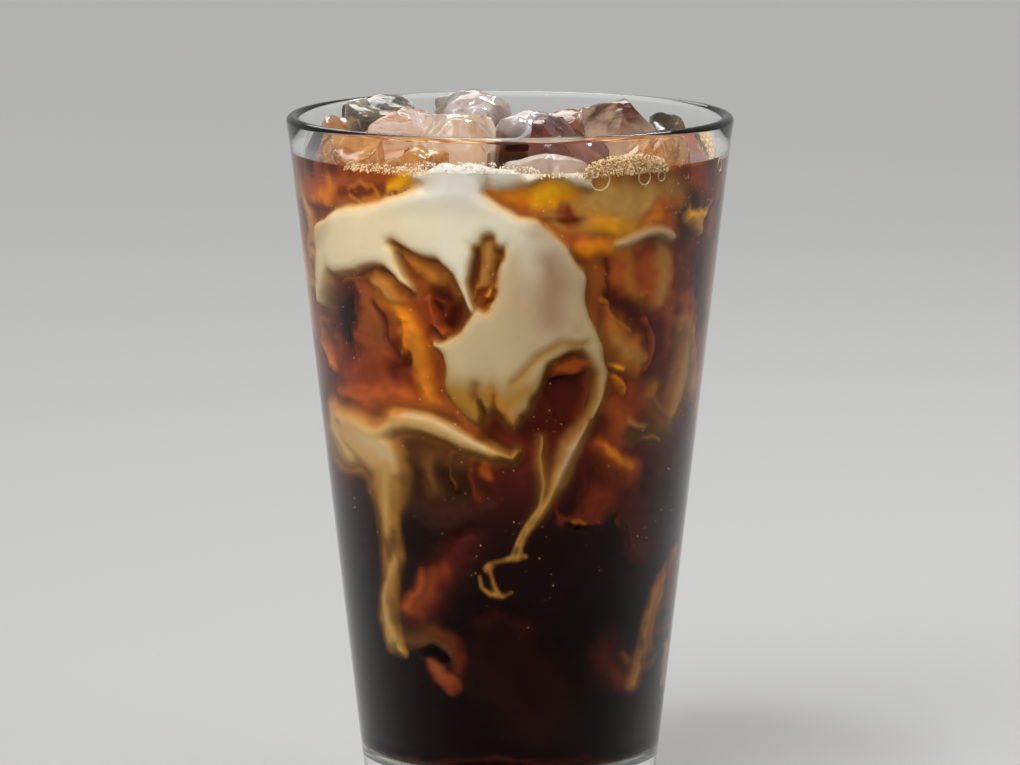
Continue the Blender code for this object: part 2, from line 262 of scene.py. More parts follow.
    ("lower ice crease", "near_black", 1.2, 3.4, ((18.9, 65.6, 0.3), (24.7, 64.4, 0.3),
     (31.4, 64.6, 0.2))),
    ("lower ice spot", "orange", 0.9, 1.2, ((21.6, 66.1, 0.5), (23.7, 66.6, 0.6), (26, 65.7, 0.4))),
    ("lower ice spot glow", "red_brown", 2.4, 1.8, ((17.4, 67.1, 0.8), (23, 67.1, 1.2),
     (28.1, 67.3, 0.8))),
    ("lower red veil", "dark_red", 5.0, 4.0, ((47.6, 69.5, 3.5), (56.1, 60.6, 2.4))),
    ("red notch under arm", "rust", 1.5, 2.5, ((-8.9, 77.7, 1), (-6.4, 76.7, 0.8))),
    ("curtain", "curtain", 3.5, 1.8, ((-37.3, 78.4, 3.1), (-25.5, 77.8, 3.9), (-15.4, 76.9, 3.1))),
    ("curtain lower", "dark_brown", 5.0, 3.0, ((-33.5, 72.5, 3.9), (-21.5, 72.2, 4.7), (-13, 73.3, 3.1))),
    ("curtain light", "curtain_light", 3.0, 1.4, ((-28.1, 77.3, 1.4), (-26.4, 72.5, 1.4))),
    ("curtain streak", "curtain_light", 2.0, 1.2, ((-25.8, 78.6, 0.4), (-25.9, 73.7, 0.8))),
    ("curtain streak two", "curtain", 1.0, 1.3, ((-19.2, 80.9, 0.5), (-18, 73.2, 0.6))),
    ("curtain streak three", "red_brown", 1.6, 1.3, ((-12.7, 79, 0.6), (-11.1, 71.3, 0.6))),
    ("rust smear", "dark_red", 7.0, 2.0, ((-16.4, 59.7, 1.4), (-24, 55.6, 2), (-32.5, 50, 2.4),
     (-35.8, 45.3, 1.6))),
    ("rust smear bright", "chestnut", 4.5, 1.5, ((-22.5, 56.2, 0.4), (-30.6, 52.6, 1), (-37, 48.5, 1.2))),
    ("rust smear streaks", "rust", 2.0, 1.3, ((-33.6, 54.5, 0.3), (-38.3, 51.3, 0.5),
     (-40.7, 47.8, 0.4))),
    ("rust smear top", "dark_red", 5.0, 2.6, ((-12.8, 63.5, 1), (-20.6, 60.8, 1.4))),
    ("second tip veil", "curtain", 3.5, 1.8, ((-40.1, 41.3, 1.6), (-30.1, 43.1, 1.8),
     (-22.4, 40.1, 1.8))),
    ("second tip arc", "red_brown", 2.2, 1.6, ((-29.2, 44, 0.6), (-22.2, 42.2, 0.8), (-19, 39.2, 1),
     (-19.6, 36.5, 1))),
    ("second tip", "chestnut", 2.0, 1.2, ((-31.1, 36, 0.8), (-27.1, 34.3, 1.6), (-23.5, 33.1, 1.8))),
    ("second tip light", "shade_rust", 2.4, 1.0, ((-29.4, 35.7, 0.4), (-25.5, 33.8, 0.8))),
    ("second tip dark", "near_black", 1.6, 4.0, ((-32.9, 38.6, 1), (-26.6, 37.9, 1))),
    ("faint smear", "dark_red", 3.0, 2.0, ((-12.2, 45.2, 0.8), (-4.3, 47, 1), (3.6, 44.7, 1.6))),
    ("low red veil", "black_red", 8.0, 3.0, ((-3.6, 40.6, 7.8), (11.5, 30.1, 8.6))),
    ("right low veil", "dark_red", 5.5, 2.5, ((42.5, 38.6, 2.4), (47.7, 33.7, 2.5))),
    ("right low veil rust", "red_brown", 4.0, 1.8, ((46.7, 33.3, 1), (51.9, 30.6, 1.2))),
    ("right wall rust", "red_brown", 3.0, 1.2, ((83, 56.4, 0.8), (76.7, 51.5, 1.2), (74.9, 45.5, 1))),
    ("right wall rust low", "red_brown", 2.0, 1.4, ((77.6, 41.7, 1), (73.6, 40.5, 1))),
    ("right wall strand", "ochre", 1.4, 0.8, ((81.2, 37.6, 0.4), (83, 29.1, 0.4))),
    ("red line at the bottom", "dark_red", 1.4, 0.6, ((-77, 14.8, 0.3), (-50, 16, 0.3),
     (-29.3, 16.5, 0.2), (0, 16.9, 0.2))),
    ("red line at the bottom right", "dark_red", 1.4, 0.6, ((0, 16.9, 0.2), (29.3, 16.5, 0.2),
     (50, 16, 0.3), (77, 14.8, 0.3))),
    ("gap one inside", "brown", 2.0, 2.4, ((-33.2, 121, 1.2), (-28.3, 118.5, 2.4), (-23, 115.5, 3.1),
     (-19.6, 112.4, 3.5))),
    ("gap one light", "honey", 2.0, 2.0, ((-29.6, 118.4, 0.8), (-23, 115.5, 1.2))),
    ("gap one gold", "dark_yellow", 1.2, 1.4, ((-35.4, 121.9, 0.8), (-33.9, 120.8, 0.6))),
    ("gap one dark inside", "dark_red", 3.0, 5.0, ((-20.9, 110.3, 3.1), (-18.1, 107.2, 3.5),
     (-20.7, 105.5, 2.4))),
    ("gap one dark whirl", "red_brown", 2.0, 3.5, ((-22.7, 111.5, 0.6), (-19.1, 110, 0.8),
     (-20.5, 107.1, 0.8), (-23.6, 107.8, 0.6))),
    ("gap one dark orange", "rust", 1.8, 2.2, ((-25.2, 111.4, 0.6), (-23.7, 107, 0.6),
     (-20.1, 104.3, 0.8))),
    ("gap two inside", "brown", 1.6, 2.0, ((-6.3, 123.8, 1.6), (-5.5, 119.5, 2.4), (-6.2, 114.9, 2.2),
     (-8.5, 111.8, 1.6))),
    ("gap two light", "ochre", 2.2, 1.6, ((-5.5, 122.2, 1), (-6.4, 118.6, 1.2), (-7.8, 115.8, 1))),
    ("gap two low", "chestnut", 1.8, 3.0, ((-6.2, 112.2, 1.4), (-9.2, 109.4, 1))),
    ("gap two spark", "amber", 0.8, 1.2, ((-5.6, 113.5, 0.3), (-6.2, 111.8, 0.3))),
)

# The cream, whose strokes join into one outline
CREAM = (
    ("left lobe", "cream_warm", 0.8, 0.2, ((-57.6, 121.3, 4.5), (-51.8, 121.9, 5.9), (-45, 123, 6.1),
     (-34, 125, 6.1), (-24.5, 126.4, 6.3))),
    ("left lobe to the middle", "cream", 0.8, 0.2, ((-24.5, 126.4, 6.3), (-14.7, 128.5, 6.5),
     (-8.1, 127.4, 5.1), (-3.8, 126.2, 4.3))),
    ("left lobe drop", "cream_warm", 0.8, 0.2, ((-60.2, 119.3, 3.1), (-59.9, 116.7, 2.4),
     (-53.2, 117.4, 2))),
    ("left lobe to the drip", "cream_warm", 0.7, 0.2, ((-39.2, 122.1, 3.9), (-36.2, 118.5, 2),
     (-33.2, 115.2, 1.2), (-29.8, 113, 0.5))),
    ("left tail", "cream_warm", 1.2, 0.3, ((-66.2, 119.4, 1.8), (-70.9, 113.4, 1.3),
     (-74.9, 107.6, 0.7))),
    ("surface cloud left", "cream_cool", 1.5, 0.2, ((-26.3, 134.5, 1), (-21.6, 134.7, 1.8),
     (-15.5, 134.8, 2.9), (-11.1, 134.9, 2.7), (-8.5, 134.9, 1.8))),
    ("surface cloud right", "cream_cool", 0.6, 0.2, ((-6.9, 135, 2), (-1.6, 134.8, 2),
     (4.5, 134.8, 1.7), (10.1, 134.9, 1.2), (16, 134.6, 1.1), (19.4, 134.3, 1.1), (21.7, 133.7, 0.8))),
    ("finger", "cream", 0.7, 0.2, ((-19.9, 125.2, 4.7), (-16.1, 121.7, 4.3), (-15.1, 119.3, 2.9),
     (-14.3, 117.1, 1.8), (-13.6, 114.7, 1.1), (-12.3, 111.8, 0.8), (-10.9, 109.4, 0.8))),
    ("main top", "cream", 0.9, 0.2, ((-2.7, 127.4, 2.4), (2.7, 124.7, 3.7), (7.2, 120.6, 6.9))),
    ("main column", "column", 1.0, 0.2, ((8.6, 121, 7.6), (9.3, 114.8, 9.6), (8, 108.2, 9.6))),
    ("main lower left", "low_cream", 0.9, 0.2, ((-0.6, 105.5, 7.1), (-10.7, 99.3, 6.7),
     (-12, 94.9, 5.7), (-10.9, 91.6, 4.1))),
    ("main lower left tip", "low_cream", 0.9, 0.2, ((-8.2, 103.8, 3.9), (-17.2, 101.2, 2.7),
     (-23.1, 102.2, 0.8))),
    ("main lower right", "low_cream", 0.9, 0.2, ((2.9, 103.8, 7.4), (1.8, 96.8, 5.9), (0.9, 91.7, 3.9),
     (0.9, 88.5, 1.8), (1.2, 86.9, 0.8))),
    ("main lower left lobe", "dark_gold", 0.9, 0.3, ((-13.4, 91.6, 3.1), (-11.7, 89.2, 1.8),
     (-10.5, 87.4, 0.8))),
    ("right arm of the ring", "low_cream", 0.8, 0.3, ((17.2, 111.6, 3.3), (21.5, 107.1, 2.2),
     (26.3, 101.9, 1.6), (29.9, 96.3, 1.1), (29.1, 91, 0.8), (26.7, 87.5, 0.6))),
    ("ring top", "low_cream", 0.8, 0.3, ((10.2, 102.8, 2.4), (17.1, 103.6, 2.4), (23.3, 103.4, 2),
     (27.4, 100.8, 1.4))),
    ("small arc", "column", 1.0, 0.4, ((32.4, 121.9, 0.9), (37, 122.8, 1.2), (41.9, 123.6, 1.2),
     (47.2, 123.6, 1.2), (52.1, 122.5, 1))),
    ("right plume", "ochre", 2.0, 0.5, ((68.1, 104.1, 0.3), (66.4, 101, 0.5), (68, 97.2, 0.6),
     (66.8, 92.8, 1.2), (64.9, 88.9, 1.6), (63.3, 85.8, 1), (61.9, 84.3, 0.5))),
    ("right plume left", "dark_gold", 1.4, 0.6, ((53.9, 92.7, 0.3), (51.5, 90.4, 0.4),
     (54.6, 87.8, 0.5), (60.4, 85.2, 0.6))),
    ("left low plume", "tan", 4.5, 0.3, ((-67.5, 84.2, 2.2), (-59.1, 81.7, 4.7), (-48.4, 78.9, 4.7),
     (-42.3, 75.6, 2.5))),
    ("arch", "tan", 3.2, 0.3, ((-52.6, 81.6, 2.5), (-41.2, 84.7, 1.8), (-33.2, 86.2, 1.6))),
    ("left low plume wall", "tan", 5.0, 0.4, ((-75.5, 85.9, 1.2), (-73.2, 81.2, 2.2),
     (-64.5, 77.1, 2.4))),
    ("stem", "dark_gold", 1.8, 0.4, ((-44.7, 76.7, 3.1), (-45.2, 72.2, 3.1), (-45.2, 67.7, 2.4),
     (-45.1, 63.2, 2), (-45.2, 58.2, 1.8))),
    ("stem low", "dark_gold", 1.6, 0.5, ((-45.2, 58.2, 1.8), (-48.3, 51, 1.6), (-49.9, 44.3, 1.8))),
    ("stem tip", "gold", 1.5, 0.4, ((-49.9, 44.3, 1.8), (-48.3, 39.8, 1.8), (-45, 38.4, 1))),
    ("arm", "tan", 1.1, 0.3, ((-39.3, 86.2, 1.8), (-28.9, 85.8, 2), (-19.9, 84.3, 1.8),
     (-11.9, 82.1, 1.4), (-5.3, 80.4, 1))),
    ("arm tip", "gold", 1.1, 0.3, ((-5.7, 80.6, 1), (0.6, 79.8, 0.5), (2.2, 80.8, 0.3))),
    ("strand right top", "shade_light", 3.0, 0.4, ((25.4, 86.3, 0.6), (22.9, 84, 1.2),
     (20.5, 81.2, 1.6), (18.3, 78.1, 1.4), (16.2, 74.9, 1))),
    ("strand right", "gold", 0.9, 0.3, ((16.5, 75.7, 1), (13.7, 71.7, 0.8), (9.9, 68.3, 0.6),
     (6, 64.9, 0.4), (3.4, 61.6, 0.4), (2.7, 59.1, 0.3))),
    ("strand left", "tan", 0.7, 0.3, ((10.6, 83.5, 0.2), (9.8, 79.5, 0.3), (11, 73.8, 0.3),
     (9.8, 69.7, 0.3), (5.6, 66.3, 0.3), (2, 62.2, 0.3), (0.3, 59.2, 0.2))),
    ("hook top", "gold", 0.6, 0.2, ((5.4, 59.3, 0.3), (-0.7, 58.9, 0.4), (-5.8, 58.5, 0.4),
     (-8.2, 57.2, 0.4))),
    ("hook middle", "dark_gold", 0.7, 0.3, ((-7.5, 57.5, 0.2), (-6.2, 54.6, 0.3), (-4.5, 52.1, 0.3))),
    ("hook bottom", "gold", 0.6, 0.2, ((-10.4, 55.4, 0.2), (-9.7, 53.3, 0.3), (-7, 51.7, 0.4),
     (-2.8, 51.5, 0.3), (0.7, 52.4, 0.2))),
    ("right low plume", "honey", 1.8, 0.4, ((78.9, 57.3, 0.4), (71.9, 53.8, 0.7), (64.6, 49.6, 0.9),
     (61, 43.7, 0.9), (59.8, 37.6, 0.8))),
    ("right low tip", "gold", 2.2, 0.5, ((59.8, 37.6, 0.6), (58.3, 34, 0.9), (56.2, 30.5, 0.9))),
    ("right low strand", "gold", 1.0, 0.3, ((68.8, 49.2, 0.3), (65.7, 43.3, 0.3), (65.2, 37.1, 0.2))),
    ("right low hook", "shade_rust", 1.2, 0.4, ((48.8, 37.9, 0.2), (55.5, 34.7, 0.4),
     (62.8, 33.6, 0.4), (67.7, 35.2, 0.3))),
)

# Gaps in the cream, with their paths alone
GAPS = (
    ("gap one", ((-34.7, 122, 0.6), (-29.6, 118.6, 2), (-23.9, 115.2, 2.9), (-19.6, 112, 3.1))),
    ("gap one left", ((-31.5, 118.7, 1), (-27.5, 113.9, 1.4), (-25.5, 111.4, 1.6))),
    ("gap one dark", ((-20.4, 109.5, 3.5), (-18.7, 107.2, 3.3), (-21.3, 105.1, 1.8))),
    ("gap two", ((-6, 123.4, 1.2), (-5.8, 120.3, 1.8), (-7.3, 115.8, 2.2), (-7.4, 112.2, 1.5))),
    ("gap two low", ((-6.5, 113, 1.2), (-7.4, 110, 0.9))),
    ("notch under the column", ((-8.4, 85.6, 0.7), (-8, 88.3, 0.6), (-9.4, 90.7, 0.3))),
    ("tongue", ((-5.9, 132.2, 0.6), (-1.9, 131.2, 1), (3.7, 130.8, 1.5), (9.7, 130, 2.5),
     (14.2, 127.3, 2.5), (18.9, 124, 2.4), (22.6, 120.3, 2.4))),
    ("small arc notch", ((44.1, 121.2, 0.8), (45.1, 118, 0.6))),
)

# Painted shade and painted highlights on the cream, and its golden tones
TINTS = (
    ("shade on column", "column_shade", 5.0, 0.2, ((10.6, 119.4, 2), (13, 114.7, 2.4), (11.5, 108.2, 2))),
    ("light on column", "low_cream", 3.5, 0.2, ((1.1, 119.9, 0.8), (0, 113.9, 1), (-2.9, 107.9, 1.2))),
    ("light under the lobe", "cream_cool", 4.0, 0.2, ((-23.2, 132.4, 1.2), (-10.6, 133.3, 1.6),
     (-1.3, 133.4, 0.8))),
    ("warm left edge", "low_cream", 3.0, 0.2, ((-68.5, 120.6, 0.8), (-61.9, 124.8, 0.6))),
    ("gold lower column", "gold_low", 6.0, 0.5, ((-19.6, 93, 1.8), (-11.6, 91.6, 3.3),
     (-1.2, 90.5, 3.3), (5.4, 93.7, 2.2))),
    ("gold lower left", "gold_low", 3.5, 0.4, ((-22.4, 99, 0.8), (-20.2, 93.8, 1), (-15.4, 89.5, 1.2))),
    ("gold fold dark", "shade_rust", 2.4, 1.2, ((-10.2, 94.1, 0.5), (-10.6, 91.7, 0.7),
     (-13.5, 89.2, 0.4))),
    ("gold fold orange", "honey", 1.8, 0.5, ((-6, 93.7, 0.5), (-4.2, 90.9, 0.6))),
    ("gold fold two", "gold_low", 2.2, 0.6, ((0.6, 94.8, 0.6), (4.7, 97.4, 0.8), (8.8, 100.2, 0.8),
     (14.7, 102.7, 0.7), (23.4, 102.8, 0.6))),
    ("gold ring right", "gold_low", 2.2, 0.3, ((29.4, 101.1, 0.4), (31, 95.4, 0.4), (29.8, 91, 0.4))),
    ("tip light", "honey", 2.2, 0.3, ((-2.1, 88.9, 0.8), (0.9, 87.1, 0.8))),
    ("plume light", "low_cream", 3.6, 0.3, ((-54.5, 82.1, 0.6), (-47.1, 80.6, 1), (-42.3, 78.1, 0.8))),
    ("plume orange", "honey", 5.0, 0.3, ((-68.6, 88.6, 1.2), (-57.2, 88, 1.6), (-45.7, 87.6, 1.4),
     (-36.7, 88.2, 0.6))),
    ("stem light", "gold", 1.6, 0.3, ((-44.3, 76.7, 0.8), (-45.9, 68.6, 0.5), (-46.2, 62.5, 0.4))),
    ("stem shade", "dark_gold", 1.4, 0.5, ((-40.5, 74.1, 0.5), (-41.9, 65.8, 0.5))),
    ("arm light", "low_cream", 1.6, 0.2, ((-35.2, 87.7, 0.5), (-25.4, 86.9, 0.6), (-15.7, 84.2, 0.5),
     (-8.2, 81.6, 0.4))),
    ("right plume light", "gold", 1.8, 0.4, ((67, 99.5, 0.3), (69.2, 92.6, 0.5), (66.5, 88.4, 0.6),
     (63.6, 85, 0.5))),
    ("right plume streak", "shade_rust", 1.2, 0.9, ((63.4, 94.8, 0.2), (60.2, 91.4, 0.3),
     (59.4, 88.2, 0.3))),
    ("gold lower lobe", "gold_low", 2.2, 0.5, ((-16, 90.7, 1.2), (-12, 89.4, 1.4), (-10.5, 87.6, 0.8))),
    ("stem wisps", "shade_rust", 1.0, 0.6, ((-44.8, 62.4, 0.2), (-48.4, 54.7, 0.2), (-48.5, 48.1, 0.3))),
    ("stem light low", "gold", 1.4, 0.4, ((-44.4, 57.5, 0.4), (-51.5, 48.7, 0.5), (-50.2, 40.9, 0.8))),
)

# More cream at the sides, which the front view does not show
SIDE_CREAM = (
    ("side cloud", "cream", 1.0, 0.3, ((96, 130, 1.4), (99, 122, 2.4), (103, 112, 2.6), (101, 101, 1.8),
     (97, 92, 1.0), (98, 84, 0.6))),
    ("side finger", "cream_warm", 0.9, 0.3, ((104, 117, 1.6), (110, 107, 1.2), (112, 98, 0.6))),
    ("side plume", "tan", 1.4, 0.4, ((91, 92, 0.7), (96, 84, 1.5), (102, 76, 1.9), (99, 65, 1.2),
     (95, 54, 0.9), (97, 45, 0.6))),
    ("other side cloud", "cream", 1.0, 0.3, ((-95, 131, 1.2), (-99, 124, 2.4), (-106, 115, 2.8),
     (-104, 103, 2.0), (-99, 94, 1.0))),
    ("other side finger", "cream_warm", 0.9, 0.3, ((-98, 119, 1.6), (-93, 110, 1.1), (-94, 101, 0.5))),
    ("other side plume", "tan", 1.4, 0.4, ((-110, 92, 0.8), (-104, 85, 1.7), (-98, 78, 1.9),
     (-101, 66, 1.3), (-97, 55, 0.8), (-100, 46, 0.6))),
)


def linear(shade):
    """A 0 to 255 colour as the linear numbers that shaders use."""
    values = np.array(shade, float) / 255
    return np.where(values <= 0.04045, values / 12.92, ((values + 0.055) / 1.055) ** 2.4)


LINEAR = {name: linear(shade) for name, shade in SHADES.items()}


def outer_radius(z):
    return BASE_RADIUS + (RIM_RADIUS - BASE_RADIUS) * z / HEIGHT


def inner_radius(z):
    share = (z - FLOOR_HEIGHT) / (HEIGHT - FLOOR_HEIGHT)
    return outer_radius(z) - (WALL_AT_FLOOR + (WALL_AT_RIM - WALL_AT_FLOOR) * share)


def arc(centre_r, centre_z, radius, start, end, pieces):
    angles = np.radians(np.linspace(start, end, pieces + 1))
    return [(centre_r + radius * math.cos(a), centre_z + radius * math.sin(a)) for a in angles]


def floor_corner(inset, pieces):
    """The rounded corner of the drink, from the floor out and up to the wall."""
    centre_z = FLOOR_HEIGHT + CORNER_RADIUS
    centre_r = inner_radius(centre_z) - CORNER_RADIUS
    return arc(centre_r, centre_z, CORNER_RADIUS - inset, -90, 0, pieces)


def wall_line(start, end, step, inset):
    count = max(1, int(round(abs(end - start) / step)))
    return [(inner_radius(z) - inset, z) for z in np.linspace(start, end, count + 1)]


def put_in_scene(name, data):
    made = bpy.data.objects.new(name, data)
    bpy.context.scene.collection.objects.link(made)
    return made


def to_mesh(name, shape):
    """Turn a bmesh into a smooth mesh."""
    mesh = bpy.data.meshes.new(name)
    for face in shape.faces:
        face.smooth = True
    shape.to_mesh(mesh)
    shape.free()
    return mesh


def add_shape(whole, part):
    """Add one bmesh to another."""
    mesh = to_mesh("part", part)
    whole.from_mesh(mesh)
    bpy.data.meshes.remove(mesh)


def finish_piece(name, shape, material, replaced=()):
    """Turn a bmesh into a piece that rides with the glass."""
    mesh = to_mesh(name, shape)
    mesh.materials.append(material)
    piece = put_in_scene(name, mesh)
    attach(piece, "root")
    if replaced:
        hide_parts(*replaced)
    return piece


def profile_line(profile):
    """A line in the plane x = 0 along a profile of (radius, height), and its parts."""
    shape = bmesh.new()
    points = [shape.verts.new((0.0, -r * MM, z * MM)) for r, z in profile]
    return shape, points + [shape.edges.new(pair) for pair in zip(points, points[1:])]


def spin(shape, parts, steps):
    """Turn mesh parts once round the Z axis."""
    bmesh.ops.spin(shape, geom=parts, cent=(0, 0, 0), axis=(0, 0, 1), dvec=(0, 0, 0), angle=math.tau,
                   steps=steps, use_merge=True, use_duplicate=False)


def turned(profile):
    """A closed turned body from a profile with both ends on the axis."""
    shape, parts = profile_line(profile)
    spin(shape, parts, TURN_STEPS)
    bmesh.ops.remove_doubles(shape, verts=shape.verts[:], dist=WELD)
    bmesh.ops.recalc_face_normals(shape, faces=shape.faces[:])
    return shape


def glass_piece(material):
    rim = WALL_AT_RIM / 2
    heel = outer_radius(HEEL_RADIUS) - HEEL_RADIUS
    profile = [(0.0, FLOOR_HEIGHT - FLOOR_DIP), (6.0, FLOOR_HEIGHT - FLOOR_DIP * 0.9),
               (13.0, FLOOR_HEIGHT - FLOOR_DIP * 0.6)]
    profile += floor_corner(0.0, 14)
    profile += wall_line(FLOOR_HEIGHT + CORNER_RADIUS + 2, HEIGHT - 3, 12, 0.0)
    profile += arc(RIM_RADIUS - rim, HEIGHT - rim, rim, 180, 0, 16)
    profile += [(outer_radius(z), z) for z in np.linspace(HEIGHT - 5, 10, 10)]
    profile += arc(heel, HEEL_RADIUS, HEEL_RADIUS, 0, -90, 8) + [(heel * 0.5, 0.0), (0.0, 0.0)]
    return finish_piece("clear_glass_wall", turned(profile), material, ("glass",))


def coffee_piece(material):
    """The clear coffee between the clouds and the wall, with a raised edge at the level."""
    edge = inner_radius(LEVEL)
    profile = [(0.0, FLOOR_HEIGHT - FLOOR_DIP - INTO_WALL), (13.0, FLOOR_HEIGHT - 0.48 - INTO_WALL)]
    profile += floor_corner(-INTO_WALL, 14)
    profile += wall_line(FLOOR_HEIGHT + CORNER_RADIUS + 2, LEVEL + 0.9, 12, -INTO_WALL)
    profile += [(edge - 0.3, LEVEL + 0.62), (edge - 0.8, LEVEL + 0.3), (edge - 1.5, LEVEL + 0.1)]
    profile += [(edge - 2.4, LEVEL), (edge * 0.6, LEVEL), (0.0, LEVEL)]
    return finish_piece("coffee_clear", turned(profile), material, ("coffee",))


# Painting the clouds

# Whole numbers that scatter the noise's values
HASH_STEPS = np.array((73856093, 19349663, 83492791))
HASH_SCALE = 1103515245
HASH_SHIFT = 12345
HASH_LIMIT = 0x7FFFFFFF
SEED_SHIFT = 17.3


def smooth_step(value):
    value = np.clip(value, 0, 1)
    return value * value * (3 - 2 * value)


def fade(value, start, end):
    """From 0 where the value is at the start smoothly to 1 where it is at the end."""
    return smooth_step((value - start) / (end - start))


def noise_at(points, size, seed, squeeze=(1, 1, 1)):
    """Smooth noise from 0 to 1 at points in millimetres."""
    spot = points * np.array(squeeze) / size + seed * SEED_SHIFT
    cell = np.floor(spot).astype(np.int64)
    part = smooth_step(spot - cell)
    total = np.zeros(len(points))
    for corner in itertools.product((0, 1), repeat=3):
        key = np.bitwise_xor.reduce((cell + np.array(corner)) * HASH_STEPS, axis=1) & HASH_LIMIT
        key = (key * HASH_SCALE + HASH_SHIFT) & HASH_LIMIT
        x, y, z = np.where(corner, part, 1 - part).T
        total += ((key >> 8) & 0xFFFF) / 65535.0 * (x * y * z)
    return total


def blend(first, second, mask):
    return first * (1 - mask[:, None]) + second * mask[:, None]


def angle_of(points):
    """Angle round the glass in radians."""
    return np.arctan2(points[:, 0], -points[:, 1])


def round_scale():
    """Running distance round a wall of radius 1 as the front view foreshortens it, by angle."""
    angles = np.linspace(-180, 180, 721)
    away = np.abs(angles)
    slope = np.maximum(np.cos(np.radians(np.minimum(away, 90))), SIDE_SLOPE)
    past = np.clip(SIDE_SLOPE + (away - 90) / 25 * (1 - SIDE_SLOPE), SIDE_SLOPE, 1.0)
    slope = np.where(away > 90, past, slope)
    running = np.concatenate([[0], np.cumsum((slope[1:] + slope[:-1]) / 2) * math.radians(0.5)])
    return angles, running - running[360]


SCALE_ANGLES, SCALE_RUN = round_scale()
SCALE_TURN = SCALE_RUN[-1] - SCALE_RUN[0]


def nearest_way(distance):
    """A running distance, taken the shorter way round."""
    return (distance + SCALE_TURN / 2) % SCALE_TURN - SCALE_TURN / 2


def stroke_distance(run, radius, height, path):
    """Distance in millimetres from each point to the edge of a stroke, negative inside it."""
    nearest = np.full(len(run), 1e9)
    spots = [(float(np.interp((a + 180) % 360 - 180, SCALE_ANGLES, SCALE_RUN)), z, w) for a, z, w in path]
    for (run_a, height_a, half_a), (run_b, height_b, half_b) in zip(spots, spots[1:]):
        px, py = nearest_way(run - run_a) * radius, height - height_a
        sx, sy = nearest_way(run_b - run_a) * radius, height_b - height_a
        share = np.clip((px * sx + py * sy) / np.maximum(sx * sx + sy * sy, 1e-6), 0, 1)
        gap = np.hypot(px - sx * share, py - sy * share) - (half_a + (half_b - half_a) * share)
        nearest = np.minimum(nearest, gap)
    return nearest


def with_back(strokes, between=()):
    """The strokes once more at the back, a little narrower and lower, and then the strokes themselves."""
    moved = []
    for *look, path in strokes:
        path = tuple((180 + a * BACK_SHRINK, max(z - BACK_DROP, LOWEST_STROKE), w) for a, z, w in path)
        moved.append((*look, path))
    return tuple(moved) + between + strokes


def near_strokes(strokes, place, reach=None):
    """For each stroke with points near it: which points, how far they are from its edge, and its look."""
    run, wall, height = place
    for _, *look, path in strokes:
        far = (reach or look[1] + 1) + max(w for _, _, w in path)
        heights = [z for _, z, _ in path]
        near = np.nonzero((height < max(heights) + far) & (height > min(heights) - far))[0]
        if len(near):
            yield near, stroke_distance(run[near], wall[near], height[near], path), look


def join_strokes(strokes, place):
    """One smooth outline round all strokes: distance to it, and the colour, softness and depth there."""
    count = len(place[0])
    joined = np.full(count, 1e-12)
    weight = np.full(count, TINY)
    colours = np.zeros((count, 3))
    softness = np.full(count, TINY)
    depths = np.zeros(count)
    for near, gap, look in near_strokes(strokes, place, JOIN_REACH):
        joined[near] += np.exp(np.clip(-gap / JOIN_SMOOTH, -27, 30))
        if look:
            shade, soft, depth = look
            share = np.exp(np.clip(-gap, -8, 4) / TONE_SMOOTH)
            weight[near] += share
            colours[near] += LINEAR[shade] * share[:, None]
            softness[near] += soft * share
            depths[near] += depth * share
    return -JOIN_SMOOTH * np.log(joined), colours / weight[:, None], softness / weight, depths / weight


def lay_strokes(strokes, place, colour, depth, limit=None):
    """Lay soft strokes of colour over one another, kept inside the limit where there is one."""
    for near, gap, (shade, soft, stroke_depth) in near_strokes(strokes, place):
        mask = smooth_step(0.5 - gap / (soft * STROKE_SOFT))
        if limit is not None:
            mask = mask * limit[near]
        seen = mask > 0
        touched, mask = near[seen], mask[seen]
        colour[touched] = blend(colour[touched], LINEAR[shade], mask)
        depth[touched] = depth[touched] * (1 - mask) + stroke_depth * mask


def base_drink(points, height):
    """The coffee itself: near black low down, warmer and lit through near the top."""
    around = noise_at(points, 9.0, 4, (1, 1, 0.35))
    around_fine = noise_at(points, 3.0, 5, (1, 1, 0.6))
    colour = np.tile(LINEAR["near_black"], (len(points), 1))
    for shade, mask in (
            ("black_red", fade(height + around * 14, 50, 80)),
            ("dark_red", fade(height + around * 10, 68, 88)),
            ("chestnut", fade(height, 84, 100) * smooth_step(around * 1.8 - 0.3)),
            ("rust", fade(height, 92, 106) * smooth_step(around_fine * 2.2 - 1.0) * 0.8)):
        colour = blend(colour, LINEAR[shade], mask)
    return colour, 1.0 + 3.0 * fade(height, 70, 90) * (0.4 + around)


